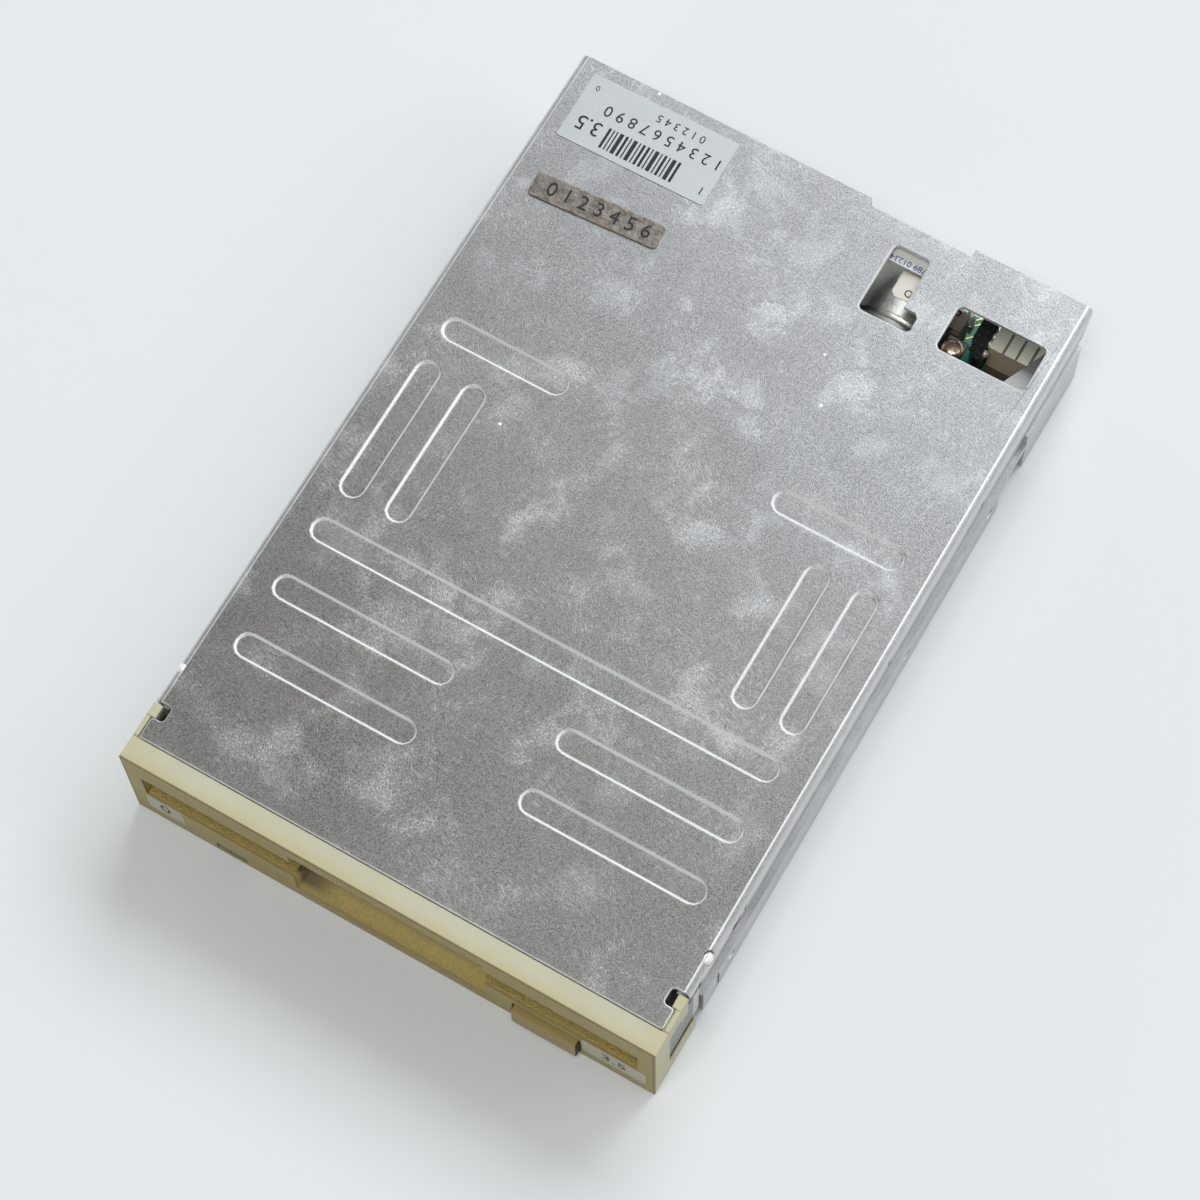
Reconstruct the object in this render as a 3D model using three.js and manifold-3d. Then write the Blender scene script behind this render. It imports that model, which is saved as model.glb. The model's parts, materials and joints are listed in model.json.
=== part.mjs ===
import * as THREE from 'three';
import { mergeVertices } from 'three/addons/utils/BufferGeometryUtils.js';
import Module from 'manifold-3d';

const wasm = await Module();
wasm.setup();

// A 3.5 inch floppy disk drive, one inch high. Lengths are in millimetres.
// X runs to the right seen from the front, Y back from the bezel's face, Z up from the base.

// Overall sizes
const driveWidth = 101.6;
const driveHeight = 25.4;
const driveDepth = 151.75;
const bezelShow = 4.45;
const runGap = 0.3;
const overrun = 1;
const halfWidth = driveWidth / 2;

// The heads, the motors behind them and the rear edge are placed from the disk carrier's back edge
const rearLength = 53.25;
const rearStart = driveDepth - rearLength;
const toRear = ([low, high]) => [rearStart + low, rearStart + high];

// The disk and how it is moved
const diskSideRoom = 11.6;
const diskWidth = driveWidth - diskSideRoom;
const diskMiddleHigh = 14.4;
const slideTravel = 4.6;
const slidePress = 0.8;
const dropShare = 0.5;
const carrierDrop = slideTravel * dropShare;
const spindleLead = 1.5;
const spindleBack = (rearStart + spindleLead) / 2;
const headBack = -9;

// Heights of the inner layers
const deckTop = 7.6;
const deckSheet = 1.2;
const deckBottom = deckTop - deckSheet;
const boardThick = 1.4;
const motorBoardTop = deckBottom - runGap;
const motorBoardBottom = motorBoardTop - boardThick;
const mainBoardBottom = 2.2;
const mainBoardThick = 1.54;
const mainBoardTop = mainBoardBottom + mainBoardThick;
const slideSheet = 0.8;
const slideBottom = deckTop + runGap;
const slideTop = slideBottom + slideSheet;

// How finely round forms are cut
const cornerSteps = 3;
const slotSteps = 12;
const roundSides = 20;
const wideSides = 40;
const mergeDistance = 0.0005;

// Finishes
const finish = (color, roughness, metalness) => (
  new THREE.MeshStandardMaterial({ color, roughness, metalness }));
const zincSheet = () => finish(0xa9adb0, 0.42, 0.85);
const darkSteel = () => finish(0x8b8c8d, 0.4, 0.9);
const brightSteel = () => finish(0xc9cbcd, 0.25, 0.95);
const creamPlastic = () => finish(0xcdc7a6, 0.55, 0);
const yellowPlastic = () => finish(0xc2ab6c, 0.55, 0);
const blackPlastic = () => finish(0x17181a, 0.5, 0);
const ivoryPlastic = () => finish(0xd8d1b4, 0.5, 0);
const boardGreen = () => finish(0x0e6b4f, 0.45, 0);
const magnetGrey = () => finish(0x35363a, 0.7, 0.2);
const copperWire = () => finish(0xa6542a, 0.4, 0.8);
const brass = () => finish(0xb98a45, 0.35, 0.9);
const coppered = () => finish(0xc08a62, 0.3, 0.9);
const whiteFilm = () => finish(0xdfe0e2, 0.5, 0);
const paper = () => finish(0xb9bab2, 0.6, 0);
const headCeramic = () => finish(0x6f6a66, 0.3, 0.3);

// Turning three.js geometry into solids and back
function solid(geometry) {
  const bare = geometry.index ? geometry.toNonIndexed() : geometry;
  bare.deleteAttribute('normal');
  bare.deleteAttribute('uv');
  const merged = mergeVertices(bare, mergeDistance);
  const corners = merged.index.array;
  const kept = [];
  for (let i = 0; i < corners.length; i += 3) {
    const [a, b, c] = [corners[i], corners[i + 1], corners[i + 2]];
    if (a !== b && b !== c && c !== a) kept.push(a, b, c);
  }
  const vertProperties = new Float32Array(merged.attributes.position.array);
  return new wasm.Manifold(new wasm.Mesh({ numProp: 3, vertProperties, triVerts: new Uint32Array(kept) }));
}

function geometryOf(shape) {
  const { vertProperties, triVerts } = shape.asOriginal().simplify(mergeDistance).getMesh();
  const geometry = new THREE.BufferGeometry();
  geometry.setAttribute('position', new THREE.BufferAttribute(new Float32Array(vertProperties), 3));
  geometry.setIndex(new THREE.BufferAttribute(new Uint32Array(triVerts), 1));
  geometry.computeVertexNormals();
  return geometry;
}

const drive = new THREE.Group();

function piece(name, shape, material) {
  const mesh = new THREE.Mesh(geometryOf(shape), material);
  mesh.name = name;
  drive.add(mesh);
}

// A piece whose places are measured from the disk carrier's back edge
function rearPiece(name, shape, material) {
  piece(name, shape.translate([0, rearStart, 0]), material);
}

const join = (first, ...rest) => rest.reduce((whole, part) => whole.add(part), first);
const cut = (first, ...tools) => tools.reduce((whole, tool) => whole.subtract(tool), first);
const middle = ([low, high]) => (low + high) / 2;
const span = ([low, high]) => high - low;
const grown = ([low, high], by) => [low - by, high + by];
const mirrored = ([low, high]) => [-high, -low];
const around = (centre, half) => [centre - half, centre + half];

// A block between two corners, each side given as a low and a high value
function block(x, y, z) {
  const box = new THREE.BoxGeometry(span(x), span(y), span(z));
  return solid(box.translate(middle(x), middle(y), middle(z)));
}

function extruded(outline, range, curveSegments) {
  return new THREE.ExtrudeGeometry(outline, { depth: span(range), bevelEnabled: false, curveSegments });
}

// A flat outline in X and Y, raised between two heights
function raised(outline, z, curveSegments = cornerSteps) {
  return solid(extruded(outline, z, curveSegments).translate(0, 0, z[0]));
}

// A profile in X and Z, run along Y
function runBack(profile, y) {
  const body = extruded(profile, y, cornerSteps);
  return solid(body.rotateX(Math.PI / 2).translate(0, y[1], 0));
}

// A profile in Y and Z, run along X
function runAcross(profile, x) {
  const body = extruded(profile, x, cornerSteps);
  return solid(body.rotateX(Math.PI / 2).rotateZ(Math.PI / 2).translate(x[0], 0, 0));
}

function upright(radius, x, y, z, sides = roundSides) {
  const body = new THREE.CylinderGeometry(radius, radius, span(z), sides);
  return solid(body.rotateX(Math.PI / 2).translate(x, y, middle(z)));
}

function lengthways(radius, x, z, y, sides = roundSides) {
  const body = new THREE.CylinderGeometry(radius, radius, span(y), sides);
  return solid(body.translate(x, middle(y), z));
}

function crossways(radius, y, z, x, sides = roundSides) {
  const body = new THREE.CylinderGeometry(radius, radius, span(x), sides);
  return solid(body.rotateZ(Math.PI / 2).translate(middle(x), y, z));
}

// A turned form about an upright line, from its profile of radius and height
function turned(profile, x, y, sides = wideSides) {
  const points = profile.map(([radius, height]) => new THREE.Vector2(radius, height));
  const body = new THREE.LatheGeometry(points, sides);
  return solid(body.rotateX(Math.PI / 2).translate(x, y, 0));
}

// A ring about an upright line
function ring(inner, outer, x, y, z, sides = wideSides) {
  return turned([[inner, z[0]], [outer, z[0]], [outer, z[1]], [inner, z[1]], [inner, z[0]]], x, y, sides);
}

function polygon(points) {
  return new THREE.Shape(points.map(([a, b]) => new THREE.Vector2(a, b)));
}

// A rectangle with round corners
function rounded(a, b, radius) {
  const shape = new THREE.Shape();
  shape.moveTo(a[0] + radius, b[0]);
  shape.lineTo(a[1] - radius, b[0]);
  shape.absarc(a[1] - radius, b[0] + radius, radius, -Math.PI / 2, 0);
  shape.lineTo(a[1], b[1] - radius);
  shape.absarc(a[1] - radius, b[1] - radius, radius, 0, Math.PI / 2);
  shape.lineTo(a[0] + radius, b[1]);
  shape.absarc(a[0] + radius, b[1] - radius, radius, Math.PI / 2, Math.PI);
  shape.lineTo(a[0], b[0] + radius);
  shape.absarc(a[0] + radius, b[0] + radius, radius, Math.PI, Math.PI * 3 / 2);
  return shape;
}

// A slot with round ends between two points
function slotShape(from, to, radius) {
  const turn = Math.atan2(to[1] - from[1], to[0] - from[0]);
  const shape = new THREE.Shape();
  shape.absarc(to[0], to[1], radius, turn - Math.PI / 2, turn + Math.PI / 2);
  shape.absarc(from[0], from[1], radius, turn + Math.PI / 2, turn + Math.PI * 3 / 2);
  return shape;
}

// A solid with a flat top and bottom of different sizes, from two matching outlines
function tapered(lower, upper, z) {
  const rim = lower.length;
  const points = [...lower.map(([x, y]) => [x, y, z[0]]), ...upper.map(([x, y]) => [x, y, z[1]])];
  const triangles = [];
  for (let i = 0; i < rim; i += 1) {
    const next = (i + 1) % rim;
    triangles.push([i, next, rim + next], [i, rim + next, rim + i]);
  }
  for (let i = 1; i < rim - 1; i += 1) {
    triangles.push([0, i + 1, i], [rim, rim + i, rim + i + 1]);
  }
  const geometry = new THREE.BufferGeometry();
  geometry.setAttribute('position', new THREE.BufferAttribute(new Float32Array(points.flat()), 3));
  geometry.setIndex(triangles.flat());
  return solid(geometry);
}

// Points of a stadium along X or Y, drawn in by an inset
function stadium(x, y, inset) {
  const radius = Math.min(span(x), span(y)) / 2;
  const reach = radius - inset;
  const lying = span(x) > span(y);
  const ends = lying ? [[x[1] - radius, middle(y)], [x[0] + radius, middle(y)]]
    : [[middle(x), y[1] - radius], [middle(x), y[0] + radius]];
  const start = lying ? -Math.PI / 2 : 0;
  const steps = 2 * cornerSteps;
  return ends.flatMap(([cx, cy], end) => Array.from({ length: steps + 1 }, (_, i) => {
    const turn = start + Math.PI * (end + i / steps);
    return [cx + reach * Math.cos(turn), cy + reach * Math.sin(turn)];
  }));
}

// Top cover
const coverSheet = 0.8;
const coverFold = 1.3;
const skirtBottom = 12.9;
const shortSkirtBottom = 22;
const shortSkirtLength = 4.4;
const tongueInset = 1.1;
const tongueHalf = halfWidth - tongueInset;
const tongueCorner = 0.6;
const notchInset = 3.2;
const notchHalf = halfWidth - notchInset;
const notchStart = 4;
const notchLength = 3;
const coverUnder = driveHeight - coverSheet;
const coverInner = halfWidth - coverSheet;
const coverBodyFront = bezelShow + notchStart + notchLength;

function coverShell() {
  const foldHigh = driveHeight - coverFold;
  const foldSide = halfWidth - coverFold;
  const innerFold = coverFold - coverSheet;
  const profile = new THREE.Shape();
  profile.moveTo(halfWidth, skirtBottom);
  profile.absarc(foldSide, foldHigh, coverFold, 0, Math.PI / 2);
  profile.absarc(-foldSide, foldHigh, coverFold, Math.PI / 2, Math.PI);
  profile.lineTo(-halfWidth, skirtBottom);
  profile.lineTo(-coverInner, skirtBottom);
  profile.absarc(-foldSide, foldHigh, innerFold, Math.PI, Math.PI / 2, true);
  profile.absarc(foldSide, foldHigh, innerFold, Math.PI / 2, 0, true);
  profile.lineTo(coverInner, skirtBottom);
  return runBack(profile, [coverBodyFront, driveDepth]);
}

function coverTongue() {
  const notchFront = bezelShow + notchStart;
  const front = rounded(around(0, tongueHalf), [bezelShow, notchFront], tongueCorner);
  const neck = [notchFront - tongueCorner, coverBodyFront + coverFold];
  return join(
    raised(front, [coverUnder, driveHeight]),
    block(around(0, notchHalf), neck, [coverUnder, driveHeight]),
  );
}

const beadWidth = 4.8;
const beadDepth = 0.75;
const beadDraft = 0.8;
const beadInner = 10;
const beadInset = 5.8;
const beadOuter = halfWidth - beadInset;
const beadRowFront = 22.5;
const beadRowPitch = 12;
const laneBeadFront = 53.5;
const laneBeadInset = 11.55;
const laneBeadBack = rearStart - bezelShow - laneBeadInset;
const laneBeadPitch = 9.1;
const rearBeadInset = 4.65;
const rearBeadBack = rearStart - bezelShow - rearBeadInset;
const rearBeadInner = 20;

// The beads' places, each as a side-to-side and a front-to-back range from the cover's front edge
function beadPlaces() {
  const rowOf = (back) => around(back, beadWidth / 2);
  const lanes = [0, 1].map((lane) => {
    const outer = beadOuter - lane * laneBeadPitch;
    return [[outer - beadWidth, outer], [laneBeadFront, laneBeadBack]];
  });
  const right = [
    ...[0, 1].map((row) => [[beadInner, beadOuter], rowOf(beadRowFront + row * beadRowPitch)]),
    ...lanes,
    [[rearBeadInner, beadOuter], rowOf(rearBeadBack)],
  ];
  const left = right.map(([x, y]) => [mirrored(x), y]);
  const longRow = beadRowFront + 2 * beadRowPitch;
  return [...right, ...left, [around(0, beadOuter), rowOf(longRow)]];
}

function beadForms() {
  return beadPlaces().map(([x, y]) => {
    const back = y.map((value) => value + bezelShow);
    const wall = coverSheet / 2;
    const boss = [coverUnder - beadDepth, coverUnder + wall];
    const groove = [driveHeight - beadDepth, driveHeight];
    return {
      boss: tapered(stadium(x, back, beadDraft - wall), stadium(x, back, -wall), boss),
      groove: join(
        tapered(stadium(x, back, beadDraft), stadium(x, back, 0), groove),
        raised(polygon(stadium(x, back, 0)), [driveHeight, driveHeight + overrun]),
      ),
    };
  });
}

const ventWide = [15.3, 25.3];
const ventNarrow = [15.3, 22.3];
const ventShort = [33.5, 37.45];
const ventLong = [33.5, 47.65];
const portWide = [30.5, 47.6];
const portLong = [33.5, 42.65];
const windowCorner = 1.1;
const windowTool = [coverUnder - overrun, driveHeight + overrun];

function windowTools() {
  const window = (x, y) => raised(rounded(x, toRear(y), windowCorner), windowTool);
  return [window(ventWide, ventShort), window(ventNarrow, ventLong), window(portWide, portLong)];
}

const frontLatch = 24.45;
const rearLatches = [-24.85, 8.35];
const latchStarts = [frontLatch, ...rearLatches.map((place) => rearStart + place)];
const latchLength = 6.5;
const latchHigh = [15.4, 20.4];

function latchTools() {
  return latchStarts.flatMap((start) => {
    const y = [start, start + latchLength];
    const x = [coverInner - overrun, halfWidth + overrun];
    return [block(x, y, latchHigh), block(mirrored(x), y, latchHigh)];
  });
}

const reliefRadius = 0.95;
const reliefBack = 14.4;
const reliefInset = 0.7;
const rearGap = [7.5, 27.8];
const rearGapDepth = 1.5;
const rearFlangeBottom = 15;
const rearFlangeInset = 3.5;
const rearFlangeEnd = halfWidth - rearFlangeInset;
const rearSlit = 0.5;

function rearFlanges() {
  const y = [driveDepth - coverSheet, driveDepth];
  const z = [rearFlangeBottom, driveHeight - coverSheet / 2];
  return [
    block([rearSlit - coverInner, rearGap[0]], y, z),
    block([rearGap[1], rearFlangeEnd], y, z),
  ];
}

function makeTopCover() {
  const beads = beadForms();
  const shortSkirt = [coverBodyFront - overrun, coverBodyFront + shortSkirtLength];
  const fullWidth = around(0, halfWidth + overrun);
  const reliefHigh = [driveHeight - coverFold, driveHeight + overrun];
  const shell = join(coverShell(), coverTongue(), ...rearFlanges(), ...beads.map((bead) => bead.boss));
  const cover = cut(
    shell,
    ...beads.map((bead) => bead.groove),
    ...windowTools(),
    ...latchTools(),
    block(fullWidth, shortSkirt, [0, shortSkirtBottom]),
    block(rearGap, [driveDepth - rearGapDepth, driveDepth + overrun], windowTool),
    upright(reliefRadius, halfWidth - reliefInset, bezelShow + reliefBack, reliefHigh),
  );
  piece('top_cover', cover, zincSheet());
}

// Front bezel
const bezelDip = 0.36;
const bezelTop = driveHeight - bezelDip;
const bezelWall = 3;
const bezelDepth = 5;
const bezelRim = 1.5;
const rebateDepth = 0.75;
const slotInset = 3.2;
const slotHalf = halfWidth - slotInset;
const slotHigh = [10.1, 18.2];
const scoopHalf = 18.6;
const scoopHigh = [3, 21.2];
const scoopInnerHalf = 16.9;
const scoopInnerHigh = [8.6, 18.6];
const lampWide = [-34.75, -28.65];
const lampHigh = [0.5, 3.6];
const buttonWide = [23.9, 36.4];
const buttonHigh = [0.9, 7.4];
const armThick = 1.7;
const armHigh = 19.5;
const armLength = 3.9;
const hookLength = 2.05;
const hookHigh = [17.5, 25.2];
const footArmLength = 8.5;
const footArmHigh = 4.6;
const doorAxisBack = 4.7;
const doorAxisHigh = 20;
const doorPinRadius = 0.7;
const lugThick = 1.8;
const lugHigh = 3.2;
const lugDepth = 3.2;

function scoopTool() {
  const corners = (half, high) => [[-half, high[0]], [half, high[0]], [half, high[1]], [-half, high[1]]];
  const mouth = corners(scoopHalf, scoopHigh);
  const inner = corners(scoopInnerHalf, scoopInnerHigh);
  return tapered(mouth, inner, [0, bezelWall]).rotate([90, 0, 0]).scale([1, -1, 1]);
}

function bezelArms(side) {
  const outer = side > 0 ? [halfWidth - armThick, halfWidth] : mirrored([halfWidth - armThick, halfWidth]);
  const stripX = [tongueHalf + runGap, halfWidth];
  const strip = side > 0 ? stripX : mirrored(stripX);
  const armEnd = bezelDepth + armLength;
  const hookBack = [armEnd - overrun, armEnd - overrun + hookLength + overrun];
  const underTongue = coverUnder - runGap;
  return [
    block(outer, [bezelWall, armEnd], [armHigh, underTongue]),
    block(strip, [bezelWall, armEnd], [armHigh, bezelTop]),
    block(outer, [armEnd - runGap, hookBack[1]], hookHigh),
    block(outer, [bezelWall, bezelDepth + footArmLength], [0, footArmHigh]),
  ];
}

function doorLugs(side) {
  const inner = halfWidth - bezelRim - lugThick;
  const reach = [inner, halfWidth - bezelRim + runGap];
  const x = side > 0 ? reach : mirrored(reach);
  return block(x, [bezelWall - runGap, bezelWall + lugDepth], around(doorAxisHigh, lugHigh / 2));
}

function makeBezel() {
  const pocketX = around(0, halfWidth - bezelRim);
  const pocketZ = [bezelRim, bezelTop - bezelRim];
  const through = [-overrun, bezelDepth + overrun];
  const sides = [1, -1];
  const pinHole = doorPinRadius + runGap;
  const rebateLong = [bezelShow - rebateDepth, through[1]];
  const body = cut(
    block(around(0, halfWidth), [0, bezelDepth], [0, bezelTop]),
    block(pocketX, [bezelWall, bezelDepth + overrun], pocketZ),
    block(around(0, halfWidth + overrun), rebateLong, [coverUnder - runGap, driveHeight]),
  );
  const whole = join(body, ...sides.flatMap(bezelArms), ...sides.map(doorLugs));
  const bezel = cut(
    whole,
    block(around(0, slotHalf), [-overrun, bezelWall], slotHigh),
    scoopTool(),
    block(lampWide, through, lampHigh),
    block(grown(buttonWide, runGap), through, grown(buttonHigh, runGap)),
    crossways(pinHole, doorAxisBack, doorAxisHigh, around(0, halfWidth - bezelRim - runGap)),
  );
  piece('front_bezel', bezel, creamPlastic());
}

// Dust door and its spring
const doorSheet = 0.8;
const doorGap = 0.4;
const doorFront = bezelWall + doorGap;
const doorTop = 20.7;
const doorBottom = 9.7;
const doorTabBottom = 8;
const doorBarrel = 1.1;
const doorSpringRadius = 1.4;
const doorSpringInset = 8.8;
const doorSpringLength = 5;
const doorSpringStart = doorSpringInset - halfWidth;
const doorSpringWide = [doorSpringStart, doorSpringStart + doorSpringLength];

function makeDoor() {
  const half = slotHalf - doorGap;
  const y = [doorFront, doorFront + doorSheet];
  const pinEnd = halfWidth - bezelRim - 2 * runGap;
  const springNotch = grown(doorSpringWide, runGap);
  const notchDepth = around(doorAxisBack, doorSpringRadius + runGap);
  const notchHigh = around(doorAxisHigh, doorSpringRadius + runGap);
  const panel = join(
    block(around(0, half), y, [doorBottom, doorTop]),
    block(around(0, scoopInnerHalf), y, [doorTabBottom, doorTop]),
    crossways(doorBarrel, doorAxisBack, doorAxisHigh, around(0, half)),
  );
  const plungerRoom = [switchCentre, -switchCentre].map((x) => (
    block(around(x, plungerRadius + 2 * runGap), grown(y, overrun), [0, plungerTop])));
  const door = join(
    cut(panel, block(springNotch, notchDepth, notchHigh), ...plungerRoom),
    crossways(doorPinRadius, doorAxisBack, doorAxisHigh, around(0, pinEnd)),
  );
  piece('dust_door', door, creamPlastic());

  const sleeve = doorPinRadius + runGap;
  const leg = block(
    [doorSpringWide[0], doorSpringWide[0] + slideSheet],
    [bezelDepth + runGap, doorAxisBack + doorSpringRadius],
    [doorAxisHigh, doorAxisHigh + 3 * doorSpringRadius],
  );
  const coil = crossways(doorSpringRadius, doorAxisBack, doorAxisHigh, doorSpringWide);
  const bore = crossways(sleeve, doorAxisBack, doorAxisHigh, grown(doorSpringWide, overrun));
  piece('door_spring', cut(join(coil, leg), bore), brightSteel());
}

// Activity lamp behind its window
const lampRecess = 1.5;
const lampBodyEnd = 7.5;
const lampLeg = 0.5;
const lampLegInset = 1.6;

function makeLamp() {
  const x = grown(lampWide, -runGap);
  const z = grown(lampHigh, -runGap);
  const legs = [x[0] + lampLegInset, x[1] - lampLegInset].map((place) => block(
    around(place, lampLeg / 2),
    [lampBodyEnd - lampLeg, lampBodyEnd],
    [middle(z), motorBoardBottom - runGap],
  ));
  piece('activity_lamp', join(block(x, [lampRecess, lampBodyEnd], z), ...legs), finish(0x20242e, 0.25, 0));
}

// Slide plate that the button pushes, with its ramp slots
const wingInset = 4.2;
const wingInner = halfWidth - wingInset;
const wingOuter = wingInner + slideSheet;
const wingTop = 18.3;
const wingFront = 21;
const wingRearInset = 6.5;
const wingBack = rearStart - wingRearInset;
const slideFront = 9.2;
const slideRearInset = 0.5;
const slideBack = rearStart - slideRearInset;
const pinFrontBack = 28;
const pinRearInset = 14.5;
const pinRearBack = rearStart - pinRearInset;
const pinRadius = 1;
const tabWide = [27, 33.3];
const tabBottom = 3.2;
const buttonProud = 1.2;
const buttonEnd = slideFront - slideSheet - runGap;
const springTabInset = 14.1;
const springTabLength = 7;
const springTabStart = wingInner - springTabInset;
const springTabWide = [springTabStart, springTabStart + springTabLength];
const springTabHigh = 14;
const hubOpeningHalf = 9.6;
const hubOpeningReach = 13.5;
const hubOpening = [spindleBack - hubOpeningHalf, spindleBack + hubOpeningReach];
const rearOpeningInset = 38.5;
const rearOpeningStart = rearStart - rearOpeningInset;
const rearOpeningHalf = 25;
const frontCornerStart = 37.2;
const frontCornerEnd = 17.4;

function rampSlot(pinBack) {
  const from = [pinBack - slidePress, diskMiddleHigh + slidePress * dropShare];
  const to = [pinBack + slideTravel, diskMiddleHigh - carrierDrop];
  const slot = slotShape(from, to, pinRadius + runGap);
  return runAcross(slot, around(0, wingOuter + overrun));
}

function makeSlide() {
  const bed = [slideBottom, slideTop];
  const wing = [wingInner, wingOuter];
  const cornerX = [frontCornerStart, wingOuter + overrun];
  const cornerY = [slideFront - overrun, frontCornerEnd];
  const plate = cut(
    block(around(0, wingOuter), [slideFront, slideBack], bed),
    block(around(0, hubOpeningHalf), hubOpening, grown(bed, overrun)),
    block(around(0, rearOpeningHalf), [rearOpeningStart, slideBack + overrun], grown(bed, overrun)),
    block(cornerX, cornerY, grown(bed, overrun)),
    block(mirrored(cornerX), cornerY, grown(bed, overrun)),
  );
  const wings = [wing, mirrored(wing)].map((x) => block(x, [wingFront, wingBack], [slideBottom, wingTop]));
  const springTabs = [springTabWide, mirrored(springTabWide)].map((x) => (
    block(x, [slideBack - slideSheet, slideBack], [slideBottom, springTabHigh])));
  const frontTab = block(tabWide, [slideFront - slideSheet, slideFront + slideSheet], [tabBottom, slideTop]);
  const body = join(plate, ...wings, ...springTabs, frontTab);
  const slide = cut(
    body,
    rampSlot(pinFrontBack),
    rampSlot(pinRearBack),
    block(grown(tabWide, overrun), [slideFront, slideFront + 2 * slideSheet], [0, slideBottom]),
  );
  piece('slide_plate', slide, brightSteel());
}

function makeButton() {
  const edge = runGap;
  const face = rounded(buttonWide, buttonHigh, edge);
  piece('eject_button', runBack(face, [-buttonProud, buttonEnd]), yellowPlastic());
}

// Eject springs between the slide's rear tabs and the chassis posts
const springRadius = 2.3;
const springWire = 0.5;
const springPostOffset = 13.5;
const springPostBack = rearStart + springPostOffset;
const springHigh = slideTop + springRadius + runGap;

function makeEjectSprings() {
  const y = [slideBack + slidePress + runGap, springPostBack - runGap];
  const place = middle(springTabWide);
  [['eject_spring_left', -place], ['eject_spring_right', place]].forEach(([name, x]) => {
    const coil = cut(
      lengthways(springRadius, x, springHigh, y),
      lengthways(springRadius - springWire, x, springHigh, grown(y, overrun)),
    );
    piece(name, coil, brightSteel());
  });
}

// Disk carrier: a C-shaped holder with a slot for the shutter lever
const carrierSheet = 0.8;
const diskSlack = 0.3;
const carrierInnerHigh = 4.4;
const carrierFront = 16;
const carrierBack = rearStart;
const carrierLip = 5;
const carrierHalf = diskWidth / 2 + diskSlack + carrierSheet;
const carrierUnder = diskMiddleHigh + carrierInnerHigh / 2;
const carrierTop = carrierUnder + carrierSheet;
const carrierFloor = diskMiddleHigh - carrierInnerHigh / 2;
const carrierBottom = carrierFloor - carrierSheet;
const armCutHalf = 8.5;
const armCutLength = 32.5;
const armCutFront = rearStart - armCutLength;
const frontCutHalf = 21;
const frontCutEnd = 24;
const stopGap = 1.5;
const stopLength = 11;
const stopWide = [springTabStart - stopGap - stopLength, springTabStart - stopGap];
const leverSideInset = 6.1;
const leverX = leverSideInset - carrierHalf;
const leverRearInset = 5;
const leverBack = rearStart - leverRearInset;
const leverReach = 26;
const leverRestTurn = -72;
const leverTravel = 81;
const leverPinRadius = 1.2;
const leverPinBottom = 14.6;
const carrierHoleRadius = 7;
const carrierHoleX = 28;
const carrierHoleLead = 8;
const carrierHoleBack = spindleBack - carrierHoleLead;

const toRadians = (degrees) => degrees * Math.PI / 180;

// A curved slot about the lever's pivot
function leverSlot() {
  const low = toRadians(leverRestTurn);
  const high = toRadians(leverRestTurn + leverTravel);
  const half = leverPinRadius + runGap;
  const endTurn = half / leverReach;
  const shape = new THREE.Shape();
  shape.absarc(leverX, leverBack, leverReach + half, low - endTurn, high + endTurn);
  shape.absarc(leverX, leverBack, leverReach - half, high + endTurn, low - endTurn, true);
  return raised(shape, grown([carrierUnder, carrierTop], overrun), slotSteps);
}

function makeCarrier() {
  const y = [carrierFront, carrierBack];
  const side = [carrierHalf - carrierSheet, carrierHalf];
  const lip = [carrierHalf - carrierLip, carrierHalf];
  const top = [carrierUnder, carrierTop];
  const stops = [stopWide, mirrored(stopWide)].map((x) => (
    block(x, [carrierBack - carrierSheet, carrierBack], [carrierFloor, carrierTop])));
  const shell = join(
    block(around(0, carrierHalf), y, top),
    ...[side, mirrored(side)].map((x) => block(x, y, [carrierBottom, carrierTop])),
    ...[lip, mirrored(lip)].map((x) => block(x, y, [carrierBottom, carrierFloor])),
    ...stops,
  );
  const carrier = cut(
    shell,
    block(around(0, armCutHalf), [armCutFront, carrierBack + overrun], grown(top, overrun)),
    block(around(0, frontCutHalf), [carrierFront - overrun, frontCutEnd], grown(top, overrun)),
    leverSlot(),
    upright(carrierHoleRadius, carrierHoleX, carrierHoleBack, grown(top, overrun)),
    upright(carrierHoleRadius, -carrierHoleX, carrierHoleBack, grown(top, overrun)),
    upright(pinRadius + runGap, leverX, leverBack, grown(top, overrun)),
    ...pinPlaces().map(([, x, back]) => (
      crossways(pinRadius + runGap, back, diskMiddleHigh, grown(x, overrun)))),
  );
  piece('disk_carrier', carrier, darkSteel());
}

// Riveted pins at the carrier's sides, which run in the slide's ramps and the chassis slots
const pinHeadRadius = 1.6;
const pinHead = 0.35;

function pinPlaces() {
  const reach = [carrierHalf - carrierSheet, chassisInner + wallSheet - runGap];
  return [
    ['carrier_pin_front_left', mirrored(reach), pinFrontBack, -1],
    ['carrier_pin_front_right', reach, pinFrontBack, 1],
    ['carrier_pin_rear_left', mirrored(reach), pinRearBack, -1],
    ['carrier_pin_rear_right', reach, pinRearBack, 1],
  ];
}

function makeCarrierPins() {
  pinPlaces().forEach(([name, x, back, side]) => {
    const collar = [carrierHalf + runGap / 2, carrierHalf + runGap / 2 + pinHead];
    const pin = join(
      crossways(pinRadius, back, diskMiddleHigh, x),
      crossways(pinHeadRadius, back, diskMiddleHigh, side > 0 ? collar : mirrored(collar)),
    );
    piece(name, pin, brightSteel());
  });
}

// Shutter lever on top of the carrier, its rivet and its spring
const leverSheet = 0.8;
const leverBottom = carrierTop + runGap;
const leverTop = leverBottom + leverSheet;
const leverHubRadius = 3.4;
const leverTipRadius = 2.2;
const rivetHead = 0.7;
const leverSpringRadius = 2.8;
const leverSpringHigh = 1.2;

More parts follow.
